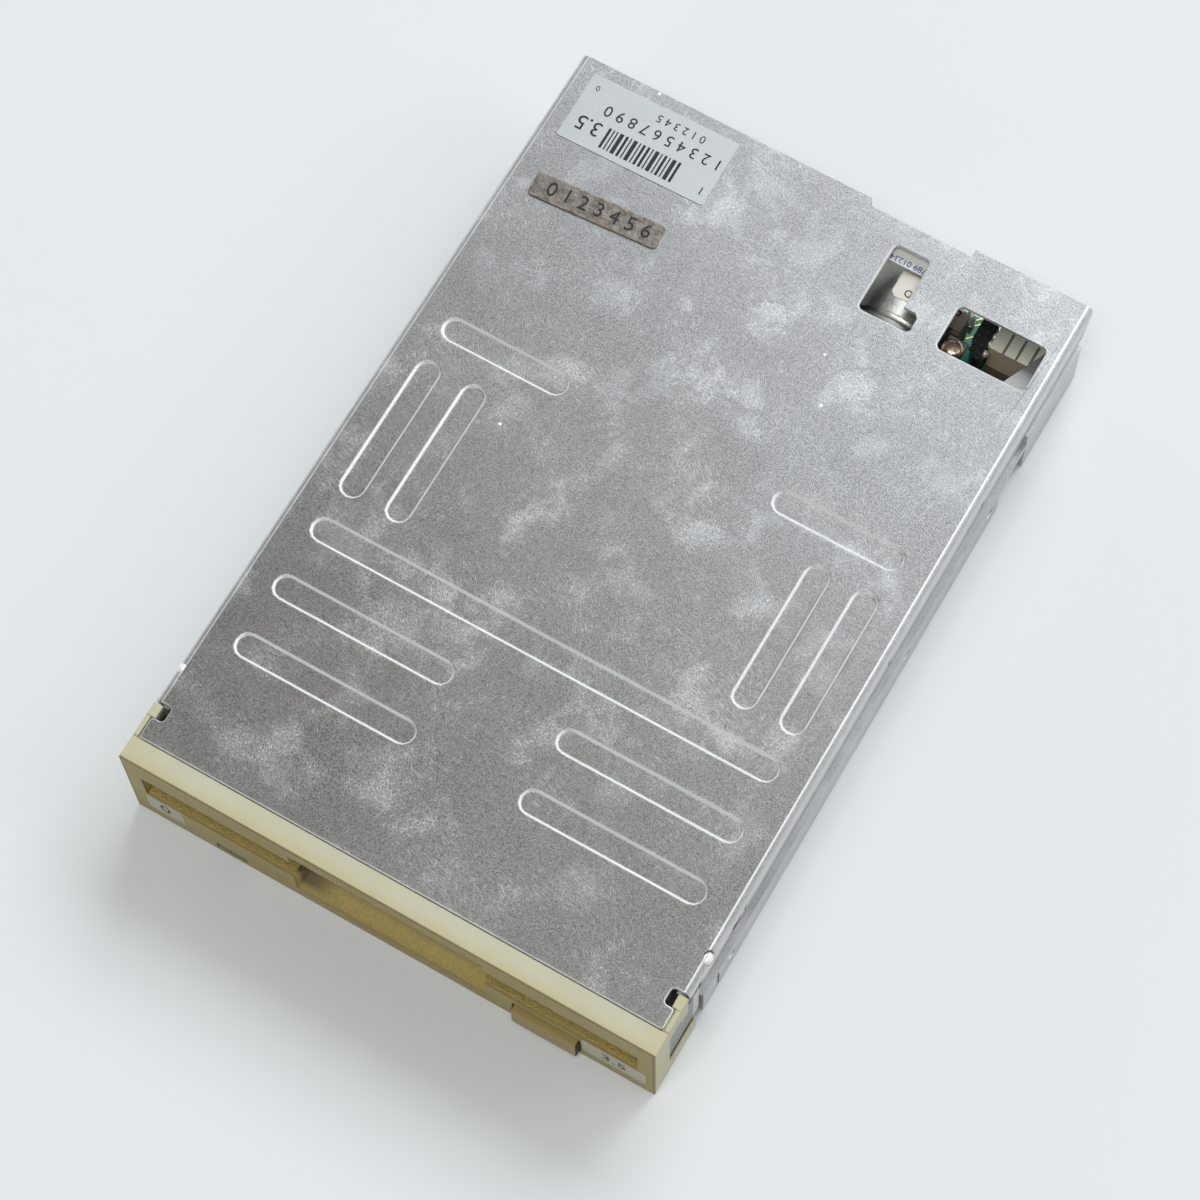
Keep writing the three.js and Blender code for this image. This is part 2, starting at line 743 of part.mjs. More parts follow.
function makeShutterLever() {
  const turn = toRadians(leverRestTurn);
  const tip = [leverX + leverReach * Math.cos(turn), leverBack + leverReach * Math.sin(turn)];
  const arm = slotShape([leverX, leverBack], tip, leverTipRadius);
  const hole = pinRadius + runGap;
  const lever = cut(
    join(
      raised(arm, [leverBottom, leverTop]),
      upright(leverHubRadius, leverX, leverBack, [leverBottom, leverTop]),
      upright(leverPinRadius, ...tip, [leverPinBottom, leverTop]),
    ),
    upright(hole, leverX, leverBack, grown([leverBottom, leverTop], overrun)),
  );
  piece('shutter_lever', lever, brightSteel());

  const springTop = leverTop + runGap + leverSpringHigh;
  const headLow = springTop + runGap;
  const rivet = join(
    upright(pinRadius, leverX, leverBack, [carrierUnder, headLow + rivetHead]),
    upright(leverHubRadius, leverX, leverBack, [headLow, headLow + rivetHead]),
  );
  piece('shutter_rivet', rivet, brightSteel());
  const springHigh = [leverTop + runGap, springTop];
  const spring = ring(hole, leverSpringRadius, leverX, leverBack, springHigh, roundSides);
  piece('shutter_spring', spring, darkSteel());
}

// Chassis: a folded tray with a deck, side walls and screw holes
const wallSheet = 1.2;
const bandGap = 0.4;
const bandOuter = coverInner - bandGap;
const chassisInner = bandOuter - wallSheet;
const lowerWallInset = 0.2;
const lowerWallOuter = halfWidth - lowerWallInset;
const lowerWallTop = 8.8;
const upperWallTop = 23.6;
const chassisFront = 5.3;
const deckFront = 12.8;
const deckOffset = 32.5;
const deckBack = rearStart + deckOffset;
const cheekEnd = 15.4;
const cheekHigh = [5.2, 17.2];
const cheekInset = 0.5;
const cheekOuter = halfWidth - cheekInset;
const footFront = 16.5;
const footSlit = [21.3, 21.9];
const sideGap = toRear([22.5, 32]);
const rearWallHigh = 12.6;
const holeRadius = 1.25;
const sideHoleHigh = 5;
const frontHole = 26;
const rearHoles = [-11.2, 19.1];
const sideHoles = [frontHole, ...rearHoles.map((place) => rearStart + place)];
const padLength = 8;
const padReach = 8.6;
const bearingFlangeRadius = 8.4;
const carriageOpening = [-18.9, 12.6];
const carriageOpeningLong = toRear([-22.5, 28.5]);
const lugProud = 0.6;
const ledgeLength = 6;
const ledgeReach = 2.2;
// The gusset's corners: how far in from the side wall, and back from the carrier
const gussetCorners = [[5.7, 37.9], [2.8, 45.3], [-0.2, 45.9], [-0.2, 37.9]];
const gussetHigh = [19, 20.2];

function chassisSide() {
  const back = driveDepth - coverSheet - runGap;
  const lower = [chassisInner + wallSheet - overrun, lowerWallOuter];
  const ledgeHigh = [mainBoardTop + runGap, mainBoardTop + runGap + wallSheet];
  const ledges = [deckBack - ledgeLength, back - ledgeLength].map((start) => (
    block([bandOuter - ledgeReach, bandOuter], [start, start + ledgeLength], ledgeHigh)));
  const pads = sideHoles.map((hole) => cut(
    block([halfWidth - padReach, lowerWallOuter], around(hole, padLength / 2), [0, wallSheet]),
    upright(holeRadius, halfWidth - padReach / 2, hole, grown([0, wallSheet], overrun)),
  ));
  const lugs = latchStarts.map((start) => {
    const y = grown([start, start + latchLength], -runGap);
    return block([bandOuter - runGap, bandOuter + lugProud], y, grown(latchHigh, -2 * runGap));
  });
  const walls = join(
    block([chassisInner, bandOuter], [chassisFront, back], [deckBottom, upperWallTop]),
    block(lower, [footFront, back], [0, lowerWallTop]),
    block(lower, [sideGap[1], back], [0, rearWallHigh]),
    block([chassisInner, cheekOuter], [chassisFront, cheekEnd], cheekHigh),
    ...pads,
    ...lugs,
    ...ledges,
  );
  const lowerX = [chassisInner + overrun, lowerWallOuter + overrun];
  const pinSlots = [pinFrontBack, pinRearBack].map((pin) => (
    block([chassisInner - overrun, bandOuter + overrun], around(pin, pinRadius + runGap),
      [diskMiddleHigh - carrierDrop - pinRadius - runGap, upperWallTop + overrun])));
  return cut(
    walls,
    block([chassisInner - overrun, halfWidth + overrun], [0, bezelDepth + armLength + hookLength + runGap],
      [cheekHigh[1], upperWallTop + overrun]),
    block(lowerX, footSlit, [-overrun, deckBottom + deckSheet / 2]),
    block(lowerX, sideGap, [-overrun, deckBottom + deckSheet]),
    ...sideHoles.map((hole) => crossways(holeRadius, hole, sideHoleHigh, lowerX)),
    ...pinSlots,
  );
}

function makeChassis() {
  const deck = [deckBottom, deckTop];
  const right = chassisSide();
  const left = right.mirror([1, 0, 0]);
  const edge = chassisInner + wallSheet / 2;
  const postWide = springTabWide;
  const posts = [postWide, mirrored(postWide)].map((x) => (
    block(x, [springPostBack, springPostBack + wallSheet], [deckBottom, springTabHigh])));
  const gusset = gussetCorners.map(([inset, back]) => [chassisInner - inset, rearStart + back]);
  const tray = join(
    block(around(0, edge), [deckFront, deckBack], deck),
    right,
    left,
    raised(polygon(gusset), gussetHigh),
    ...posts,
  );
  const screwHole = clampScrewRadius + runGap;
  const chassis = cut(
    tray,
    upright(bearingRadius + runGap, 0, spindleBack, grown(deck, overrun), wideSides),
    block(carriageOpening, carriageOpeningLong, grown(deck, overrun)),
    ...clampPlaces().map(([, , , screwBack]) => (
      upright(screwHole, clampScrewX, rearStart + screwBack, grown(deck, overrun)))),
  );
  piece('chassis', chassis, darkSteel());
}

// Spindle motor
const shaftRadius = 1.5;
const bearingRadius = 5;
const bearingBottom = 2.1;
const bearingFlangeThick = 1;
const bearingFlangeTop = deckTop + runGap + bearingFlangeThick;
const hubRadius = 12.5;
const hubSheet = 1.2;
const hubBottom = bearingFlangeTop + runGap;
const hubTop = hubBottom + hubSheet;
const shaftProud = 0.9;
const shaftTop = hubTop + shaftProud;
const drivePinReach = 10;
const drivePinRadius = 1.1;
const rotorRadius = 23;
const rotorSheet = 0.8;
const rotorBottom = 0.9;
const rotorTop = 4.2;
const magnetThick = 1.7;
const magnetOuter = rotorRadius - rotorSheet - runGap;
const magnetInner = magnetOuter - magnetThick;
const coreHigh = [2.4, 3.3];
const coreRing = 3;
const toothCount = 9;
const toothWidth = 1.7;
const toothTip = 1.2;
const tipWidth = 8.5;
const windingWidth = 4.4;
const windingGap = 0.35;
const windingHigh = [2.05, motorBoardBottom - windingGap];
const windingReach = [9.6, 17.4];
const bridgeRing = 0.9;

function makeSpindle() {
  const bore = shaftRadius + runGap;
  const cup = cut(
    turned([
      [0, rotorBottom], [rotorRadius, rotorBottom], [rotorRadius, rotorTop],
      [rotorRadius - rotorSheet, rotorTop], [rotorRadius - rotorSheet, rotorBottom + rotorSheet],
      [0, rotorBottom + rotorSheet],
    ], 0, spindleBack),
    upright(bore, 0, spindleBack, [0, rotorTop]),
  );
  piece('spindle_rotor', cup, brightSteel());
  const magnetHigh = [rotorBottom + rotorSheet + runGap, rotorTop];
  piece('rotor_magnet', ring(magnetInner, magnetOuter, 0, spindleBack, magnetHigh), magnetGrey());
  piece('spindle_shaft', upright(shaftRadius, 0, spindleBack, [rotorBottom, shaftTop]), brightSteel());

  const pinHole = drivePinRadius + runGap / 2;
  const hub = cut(
    upright(hubRadius, 0, spindleBack, [hubBottom, hubTop], wideSides),
    upright(bore, 0, spindleBack, grown([hubBottom, hubTop], overrun)),
    upright(pinHole, drivePinReach, spindleBack, grown([hubBottom, hubTop], overrun)),
  );
  piece('hub_plate', hub, brightSteel());
  piece('drive_pin', upright(drivePinRadius, drivePinReach, spindleBack, [hubBottom, shaftTop]), brass());
}

function makeBearing() {
  const bore = shaftRadius + runGap;
  const flangeLow = deckTop + runGap;
  const bearing = turned([
    [bore, bearingBottom], [bearingRadius, bearingBottom], [bearingRadius, flangeLow],
    [bearingFlangeRadius, flangeLow], [bearingFlangeRadius, bearingFlangeTop],
    [bore, bearingFlangeTop], [bore, bearingBottom],
  ], 0, spindleBack);
  piece('spindle_bearing', bearing, brass());
}

// The stator's teeth stand round the bearing, each with its own winding
function makeStator() {
  const inner = bearingRadius + runGap;
  const tipOuter = magnetInner - runGap;
  const toothTurn = 360 / toothCount;
  const each = (make) => Array.from({ length: toothCount }, (_, index) => (
    make().rotate([0, 0, index * toothTurn]).translate([0, spindleBack, 0])));
  const stem = [inner + coreRing - overrun, tipOuter - toothTip];
  const tip = [stem[1], tipOuter - toothTip / 2];
  const tooth = (widen) => join(
    block(stem, around(0, toothWidth / 2 + widen), grown(coreHigh, widen)),
    block(grown(tip, widen), around(0, tipWidth / 2), grown(coreHigh, widen)),
  );
  const core = join(ring(inner, inner + coreRing, 0, spindleBack, coreHigh), ...each(() => tooth(0)));
  piece('stator_core', core, darkSteel());

  const coil = () => block(windingReach, around(0, windingWidth / 2), windingHigh);
  const blocks = each(() => cut(coil(), tooth(runGap)));
  const bridgeHigh = [coreHigh[1] + runGap, windingHigh[1]];
  const [start] = windingReach;
  const bridge = ring(start - bridgeRing / 2, start + bridgeRing, 0, spindleBack, bridgeHigh);
  piece('stator_winding', join(bridge, ...blocks), copperWire());
}

// Circuit boards and their larger parts
const motorBoardInset = 2.4;
const motorBoardHalf = chassisInner - motorBoardInset;
const motorBoardFront = 6.2;
const motorBoardRearInset = 20.5;
const motorBoardBack = rearStart - motorBoardRearInset;
const motorBoardShoulder = 25;
const motorBoardWaist = 33;
const buttonClear = 1.3;
const mainBoardSideGap = 0.4;
const mainBoardHalf = chassisInner - mainBoardSideGap;
const mainBoardFront = -0.5;
const mainBoardInset = 1;
const chipThick = 1.5;
const controllerSize = 14;
const controllerPlace = [-12, 23.5];
const driverLength = 12;
const driverWidth = 8;
const driverPlace = [20, 13.5];

function makeBoards() {
  const buttonZone = [buttonWide[0] - buttonClear, buttonWide[1] + buttonClear];
  const high = [motorBoardBottom, motorBoardTop];
  const motorBoard = cut(
    join(
      block(around(0, motorBoardHalf), [motorBoardFront, motorBoardShoulder], high),
      block(around(0, motorBoardWaist), [motorBoardFront, motorBoardBack], high),
    ),
    block(buttonZone, [0, slideFront + buttonClear], [0, deckTop]),
    upright(bearingRadius + runGap, 0, spindleBack, grown(high, overrun), wideSides),
  );
  piece('motor_board', motorBoard, boardGreen());

  const boardLong = [mainBoardFront, rearLength - mainBoardInset];
  const boardHigh = [mainBoardBottom, mainBoardTop];
  rearPiece('main_board', block(around(0, mainBoardHalf), boardLong, boardHigh), boardGreen());

  const chipHigh = [mainBoardBottom - chipThick, mainBoardBottom];
  const chip = ([x, y], length, width) => block(around(x, length / 2), around(y, width / 2), chipHigh);
  rearPiece('controller_chip', chip(controllerPlace, controllerSize, controllerSize), blackPlastic());
  rearPiece('driver_chip', chip(driverPlace, driverLength, driverWidth), blackPlastic());
}

// Signal connector: a shroud round two rows of pins
const connectorBottom = mainBoardTop + runGap;
const signalCentre = -20.5;
const signalWidth = 48;
const signalHeight = 8.8;
const signalFront = 43;
const signalWall = 1.2;
const signalFloor = 45.5;
const pinPitch = 2.54;
const pinColumnCount = 17;
const pinThick = 0.64;
const pinTip = 51.7;
const keyHalf = 2.2;
const keyDepth = 5;

function makeSignalConnector() {
  const x = around(signalCentre, signalWidth / 2);
  const z = [connectorBottom, connectorBottom + signalHeight];
  const cavity = block(grown(x, -signalWall), [signalFloor, rearLength + overrun], grown(z, -signalWall));
  const keyLong = [rearLength - keyDepth, rearLength + overrun];
  const key = block(around(signalCentre, keyHalf), keyLong, [middle(z), z[1] + overrun]);
  const pins = [];
  for (let column = 0; column < pinColumnCount; column += 1) {
    const place = signalCentre + (column - (pinColumnCount - 1) / 2) * pinPitch;
    [-1, 1].forEach((row) => {
      const high = middle(z) + row * pinPitch / 2;
      const section = [around(place, pinThick / 2), around(high, pinThick / 2)];
      pins.push(block(section[0], [signalFloor - pinThick, pinTip], section[1]));
    });
  }
  const shroud = cut(block(x, [signalFront, rearLength], z), cavity, key);
  rearPiece('signal_connector', join(shroud, ...pins), blackPlastic());
}

// Power connector: four pins in an ivory housing with slots in its roof
const powerCentre = 41.8;
const powerWidth = 10.4;
const powerHeight = 8;
const powerFront = 40.1;
const powerFloor = 46.7;
const powerWall = 1;
const powerPitch = 2.5;
const powerPinCount = 4;
const powerPinThick = 0.8;
const powerPinTip = 51.9;
const powerSlotWidth = 0.5;
const powerSlotStart = 44.7;

function makePowerConnector() {
  const x = around(powerCentre, powerWidth / 2);
  const z = [connectorBottom, connectorBottom + powerHeight];
  const cavity = block(grown(x, -powerWall), [powerFloor, rearLength + overrun], grown(z, -powerWall));
  const slots = [-1, 0, 1].map((step) => block(
    around(powerCentre + step * powerPitch, powerSlotWidth / 2),
    [powerSlotStart, rearLength - powerWall],
    [z[1] - powerWall / 2, z[1] + overrun],
  ));
  const pins = Array.from({ length: powerPinCount }, (_, index) => block(
    around(powerCentre + (index - (powerPinCount - 1) / 2) * powerPitch, powerPinThick / 2),
    [powerFloor - powerPinThick, powerPinTip],
    around(middle(z), powerPinThick / 2),
  ));
  const housing = cut(block(x, [powerFront, rearLength], z), cavity, ...slots);
  rearPiece('power_connector', join(housing, ...pins), ivoryPlastic());
}

const jumperWide = [33.2, 36.2];
const jumperLong = [41.1, 49.1];
const jumperTop = 12.2;
const jumperCorner = 1.6;
const jumperContactCount = 3;
const jumperContact = 0.9;
const jumperContactHigh = 9.4;

// Jumper block: a black strip with a cut corner and bright contacts along one side
function makeJumperBlock() {
  const [x, y] = [jumperWide, jumperLong];
  const outline = polygon([
    [x[0] + jumperCorner, y[0]], [x[1], y[0]], [x[1], y[1]], [x[0], y[1]], [x[0], y[0] + 2 * jumperCorner],
  ]);
  const pitch = span(y) / jumperContactCount;
  const contacts = Array.from({ length: jumperContactCount }, (_, index) => block(
    [x[1] - jumperContact, x[1] - jumperContact / 3],
    around(y[0] + pitch / 2 + index * pitch, jumperContact / 2),
    [jumperContactHigh, jumperTop + jumperContact / 3],
  ));
  rearPiece('jumper_block', join(raised(outline, [connectorBottom, jumperTop]), ...contacts), blackPlastic());
}

// Stepper motor, its bracket and the lead screw
const motorAxisX = 21;
const motorAxisHigh = 13.2;
const motorRadius = 8.8;
const motorFront = 35.9;
const motorBack = 47.5;
const motorWall = 1.2;
const motorCavityRadius = 6.4;
const rotorBarrelRadius = 5.8;
const rotorBarrel = [36.7, 45.5];
const screwRadius = 1.5;
const screwFront = 2.1;
const bracketSheet = 1.1;
const bracketFootFront = 29.9;
const bracketFootHalf = 9;
const bracketRimExtra = 0.5;
const shelfWide = [30.1, 33.8];
const shelfEnd = 41.1;
const shelfHigh = [14.8, 16];
const domePlace = [31.9, 38.5];
const domeRadius = 2.05;
const domeHigh = 1.7;
const domeShoulder = { out: 0.96, up: 0.4 };
const domeCrown = { out: 0.7, up: 0.8 };
const terminalWide = [27, 32.2];
const terminalHigh = [10, 13];
const terminalLength = 2;
const terminalSink = 1.6;

function makeStepper() {
  const cavity = [motorFront - overrun, motorBack - motorWall];
  const terminalX = [terminalWide[0] + terminalSink, terminalWide[1]];
  const can = join(
    cut(
      lengthways(motorRadius, motorAxisX, motorAxisHigh, [motorFront, motorBack], wideSides),
      lengthways(motorCavityRadius, motorAxisX, motorAxisHigh, cavity),
    ),
    block(terminalX, [motorBack - terminalLength, motorBack], terminalHigh),
  );
  rearPiece('stepper_motor', can, zincSheet());

  const bore = screwRadius + runGap;
  const barrel = cut(
    lengthways(rotorBarrelRadius, motorAxisX, motorAxisHigh, rotorBarrel),
    lengthways(bore, motorAxisX, motorAxisHigh, grown(rotorBarrel, overrun)),
  );
  rearPiece('stepper_rotor', barrel, magnetGrey());
  const screw = [screwFront, rotorBarrel[1] - runGap];
  rearPiece('lead_screw', lengthways(screwRadius, motorAxisX, motorAxisHigh, screw), brightSteel());
}

function makeBracket() {
  const plate = [motorFront - runGap - bracketSheet, motorFront - runGap];
  const foot = [deckTop + runGap, deckTop + runGap + bracketSheet];
  const face = join(
    lengthways(motorRadius + bracketRimExtra, motorAxisX, motorAxisHigh, plate, wideSides),
    block(around(motorAxisX, bracketFootHalf), plate, [foot[0], motorAxisHigh]),
    block([motorAxisX, shelfWide[1]], plate, [foot[0], shelfHigh[1]]),
  );
  const under = block(around(motorAxisX, motorRadius + overrun), grown(plate, overrun), [0, foot[0]]);
  const bracket = join(
    cut(face, under, lengthways(screwRadius + 2 * runGap, motorAxisX, motorAxisHigh, grown(plate, overrun))),
    block(around(motorAxisX, bracketFootHalf), [bracketFootFront, plate[1]], foot),
    cut(
      block(shelfWide, [plate[0], shelfEnd], shelfHigh),
      upright(clampScrewRadius + runGap, ...domePlace, grown(shelfHigh, overrun)),
    ),
  );
  rearPiece('stepper_bracket', bracket, darkSteel());

  const domeLow = shelfHigh[1] + runGap / 2;
  const domeProfile = [
    [0, shelfHigh[0] - overrun], [clampScrewRadius, shelfHigh[0] - overrun], [clampScrewRadius, domeLow],
    [domeRadius, domeLow], [domeRadius * domeShoulder.out, domeLow + domeHigh * domeShoulder.up],
    [domeRadius * domeCrown.out, domeLow + domeHigh * domeCrown.up], [0, domeLow + domeHigh],
  ];
  rearPiece('bracket_screw', turned(domeProfile, ...domePlace, roundSides), coppered());
}

const bearingPostHalf = 2.6;
const bearingPostDepth = 2.2;
const bearingEndWall = 1.5;
const bearingPostTop = 16.2;

function makeScrewBearing() {
  const y = [screwFront - bearingEndWall, screwFront + bearingPostDepth];
  const post = cut(
    block(around(motorAxisX, bearingPostHalf), y, [deckTop + runGap, bearingPostTop]),
    lengthways(screwRadius + runGap, motorAxisX, motorAxisHigh, [screwFront - runGap, y[1] + overrun]),
  );
  rearPiece('screw_bearing', post, blackPlastic());
}

// Head carriage and what it carries
const carriageBottom = 8.2;
const carriageLowTop = 10.1;
const carriageHalf = 13;
const carriageFront = -12.5;
const carriageBack = 28.5;
const postFront = 19.5;
const postHalf = 8;
const postTop = 17.1;
const rodX = -16;
const rodHigh = 9.2;
const rodRadius = 1.25;
const rodFront = -30;
const rodBack = 31.5;
const sleeveHalf = 2.6;
const sleeveBottom = 7.1;
const sleeveTop = 12;
const sleeveFront = 13.5;
const sleeveBack = 27.5;
const followerBack = [19.7, 23.1];
const followerHigh = [12.2, 14.2];
const guideWing = 3;
const headSize = [4, 4];
const lowerHeadTop = 12;
const headWellExtra = 0.3;
const headWellFloor = 0.5;
const headWellBottom = carriageBottom + headWellFloor;
const flagX = [-24.6, -23.6];
const flagBack = [17.9, 25.9];
const flagArmLength = 3;
const flagHigh = [10.4, 13];

function makeCarriage() {
  const follower = [carriageHalf - guideWing, motorAxisX - screwRadius - runGap];
  const sleeveLong = [sleeveFront, sleeveBack];
  const low = [carriageBottom, carriageLowTop];
  const body = join(
    block(around(0, carriageHalf), [carriageFront, carriageBack], low),
    block(around(0, postHalf), [postFront, carriageBack], [carriageBottom, postTop]),
    block(around(rodX, sleeveHalf), sleeveLong, [sleeveBottom, sleeveTop]),
    block([rodX + sleeveHalf - overrun, overrun - carriageHalf], sleeveLong, low),
    block([carriageHalf - overrun, carriageHalf + guideWing], sleeveLong, low),
    block([follower[0], carriageHalf], followerBack, [carriageBottom, followerHigh[1]]),
    block(follower, followerBack, followerHigh),
    block([flagX[0], rodX], [flagBack[0], flagBack[0] + flagArmLength], [sleeveTop - overrun, sleeveTop]),
    block(flagX, flagBack, flagHigh),
  );
  const headX = around(0, headSize[0] / 2);
  const headY = around(headBack, headSize[1] / 2);
  const well = [headWellBottom, carriageLowTop + overrun];
  const carriage = cut(
    body,
    lengthways(rodRadius + runGap, rodX, rodHigh, grown(sleeveLong, overrun)),
    block(grown(headX, headWellExtra), grown(headY, headWellExtra), well),
    crossways(armBarrel + runGap, armPivotBack, armPivotHigh, around(0, postHalf + overrun)),
  );
  rearPiece('head_carriage', carriage, finish(0x2a2b2e, 0.5, 0.1));
  rearPiece('lower_head', block(headX, headY, [headWellBottom + runGap, lowerHeadTop]), headCeramic());
}

const armPivotBack = 25;
const armPivotHigh = 17.8;
const armBarrel = 1.1;
const armHalf = 6.5;
const armSheet = 0.8;
const armBottom = 18.5;
const armFront = -14;
const armBack = 27.5;
const armFlangeLow = 17.5;
const armFlangeStart = -4.5;
const armFlangeBack = 15.5;
const upperHeadBottom = 16.4;
const armSpringHalf = 2;
const armSpringSheet = 0.4;
const armSpringFront = 17.5;
const armSpringHigh = 20;

function makeArm() {
  const skin = [armBottom, armBottom + armSheet];
  const flange = [armHalf - armSheet, armHalf];
  const flangeBack = [armFlangeStart, armFlangeBack];
  const arm = join(
    block(around(0, armHalf), [armFront, armBack], skin),
    ...[flange, mirrored(flange)].map((x) => block(x, flangeBack, [armFlangeLow, skin[1]])),
    crossways(armBarrel, armPivotBack, armPivotHigh, around(0, armHalf)),
  );
  rearPiece('head_arm', arm, brightSteel());

  const headX = around(0, headSize[0] / 2);
  const headY = around(headBack, headSize[1] / 2);
  rearPiece('upper_head', block(headX, headY, [upperHeadBottom, armBottom - runGap]), headCeramic());

  const springBack = carriageBack + runGap + armSpringSheet;
  const springTop = armSpringHigh + armSpringSheet;
  const spring = join(
    block(around(0, armSpringHalf), [armSpringFront, springBack], [armSpringHigh, springTop]),
    block(around(0, armSpringHalf), [springBack - armSpringSheet, springBack], [sleeveTop, springTop]),
  );
  rearPiece('arm_spring', spring, brightSteel());
}

// Guide rod, its clamps and their screws
const clampDepth = 3.6;
const clampHalf = 2.6;
const clampTop = 11.7;
const clampFlangeEnd = -24.6;
const clampFlange = 0.8;
const clampScrewX = -21.8;
const clampScrewRadius = 1;
const clampHeadRadius = 2;
const clampHeadHigh = 1.1;

function clampPlaces() {
  const front = [rodFront - clampDepth + runGap, rodFront + runGap];
  const rear = [rodBack - clampDepth, rodBack];
  return [
    ['rod_clamp_front', 'rod_screw_front', front, middle(front)],
    ['rod_clamp_rear', 'rod_screw_rear', rear, middle(rear)],
  ];
}

function makeRod() {
  const rodEnd = [rodFront - clampDepth / 2, rodBack];
  rearPiece('guide_rod', lengthways(rodRadius, rodX, rodHigh, rodEnd), brightSteel());
  clampPlaces().forEach(([name, screwName, y, screwBack], index) => {
    const flange = [deckTop + runGap, deckTop + runGap + clampFlange];
    const boreStart = index === 0 ? rodEnd[0] - runGap : y[0] - overrun;
    const clamp = cut(
      join(
        block(around(rodX, clampHalf), y, [flange[0], clampTop]),
        block([clampFlangeEnd, rodX], y, flange),
      ),
      lengthways(rodRadius + runGap, rodX, rodHigh, [boreStart, y[1] + overrun]),
      upright(clampScrewRadius + runGap, clampScrewX, screwBack, grown(flange, overrun)),
    );
    rearPiece(name, clamp, darkSteel());
    const headLow = flange[1] + runGap / 2;
    const screw = join(
      upright(clampScrewRadius, clampScrewX, screwBack, [deckBottom, headLow + clampHeadHigh]),
      upright(clampHeadRadius, clampScrewX, screwBack, [headLow, headLow + clampHeadHigh]),
    );
    rearPiece(screwName, screw, brass());
  });
}

// Track sensor: a fork that the carriage's flag enters at the outermost track
const sensorBack = [21.1, 27.1];
const sensorPost = 2.2;
const sensorTop = 13.6;
const sensorBase = 1.5;
const sensorSlack = 0.6;

function makeTrackSensor() {
  const slot = grown(flagX, sensorSlack);
  const x = grown(slot, sensorPost);
  const sensor = cut(
    block(x, sensorBack, [deckTop + runGap, sensorTop]),
    block(slot, grown(sensorBack, overrun), [deckTop + runGap + sensorBase, sensorTop + overrun]),
  );
  rearPiece('track_sensor', sensor, blackPlastic());
}

// Flat ribbon cable over the motor, and its socket on the board
const ribbonLong = [45.4, 51.9];
const ribbonThick = 0.35;
const ribbonBend = 2.2;
const ribbonLeft = 6;
const ribbonRight = 31.2;
const socketHalf = 1.5;
const socketTop = 8;

function makeRibbon() {
  const low = motorAxisHigh + motorRadius + runGap;
  const bendHigh = low - ribbonBend + ribbonThick;
  const outerBend = ribbonBend + ribbonThick;
  const rightEnd = terminalHigh[1] + runGap;
  const leftEnd = socketTop + runGap;
  const strip = new THREE.Shape();
  strip.moveTo(ribbonLeft, leftEnd);
  strip.absarc(ribbonLeft + outerBend, bendHigh, outerBend, Math.PI, Math.PI / 2, true);
  strip.absarc(ribbonRight + ribbonThick - outerBend, bendHigh, outerBend, Math.PI / 2, 0, true);
  strip.lineTo(ribbonRight + ribbonThick, rightEnd);
  strip.lineTo(ribbonRight, rightEnd);
  strip.absarc(ribbonRight + ribbonThick - outerBend, bendHigh, ribbonBend, 0, Math.PI / 2);
  strip.absarc(ribbonLeft + outerBend, bendHigh, ribbonBend, Math.PI / 2, Math.PI);
  strip.lineTo(ribbonLeft + ribbonThick, leftEnd);
  rearPiece('ribbon_cable', runBack(strip, ribbonLong), whiteFilm());

  const x = around(ribbonLeft + ribbonThick / 2, socketHalf);
  const socket = block(x, grown(ribbonLong, runGap), [connectorBottom, socketTop]);
  rearPiece('ribbon_socket', socket, ivoryPlastic());
}

// Sense switches at the front corners, each with a plunger that a disk pushes down
const switchInset = 6.9;
const switchCentre = chassisInner - switchInset;
const switchHalf = 2.7;
const switchLong = [6.6, 11.6];
const switchTop = 9.4;
const plungerRadius = 1;
const plungerTop = 11.6;
const plungerTravel = 1.2;

function makeSwitch(name, side) {
  const x = around(side * switchCentre, switchHalf);
  const back = middle(switchLong);
  const low = motorBoardTop + runGap;
  const plungerBottom = low + plungerTravel + 2 * runGap;
  const wellBottom = plungerBottom - plungerTravel - runGap / 2;
  const body = cut(
    block(x, switchLong, [low, switchTop]),
    upright(plungerRadius + runGap, side * switchCentre, back, [wellBottom, switchTop + overrun]),
  );
  piece(`${name}_switch`, body, blackPlastic());
  const plunger = upright(plungerRadius, side * switchCentre, back, [plungerBottom, plungerTop]);
  piece(`${name}_plunger`, plunger, ivoryPlastic());
}

// Labels, as thin plates on the faces that carry them
const labelThick = 0.12;
const labelSize = [29.3, 13.8];
const labelPlace = [-32.3, 43.95];
const labelTurn = 0.6;
const serialThick = 0.35;
const serialSize = [25, 4.8];
const serialPlace = [-33, 27.35];
const serialTurn = 3.4;
const leftStickerWide = [-47.9, -40.7];
const rightStickerWide = [37, 49.2];
const stickerHigh = [3.9, 9.9];

function flatPlate(size, place, degrees, thick) {
  const plate = block(around(0, size[0] / 2), around(0, size[1] / 2), [driveHeight, driveHeight + thick]);
  return plate.rotate([0, 0, degrees]).translate([place[0], place[1], 0]);
}

function makeLabels() {
  const label = flatPlate(labelSize, labelPlace, labelTurn, labelThick);
  rearPiece('paper_label', label, paper());
  const serial = flatPlate(serialSize, serialPlace, serialTurn, serialThick);
  rearPiece('serial_plate', serial, finish(0x6e6a60, 0.5, 0.3));
  piece('bezel_sticker_left', block(leftStickerWide, [-labelThick, 0], stickerHigh), paper());
  piece('bezel_sticker_right', block(rightStickerWide, [-labelThick, 0], stickerHigh), paper());
}

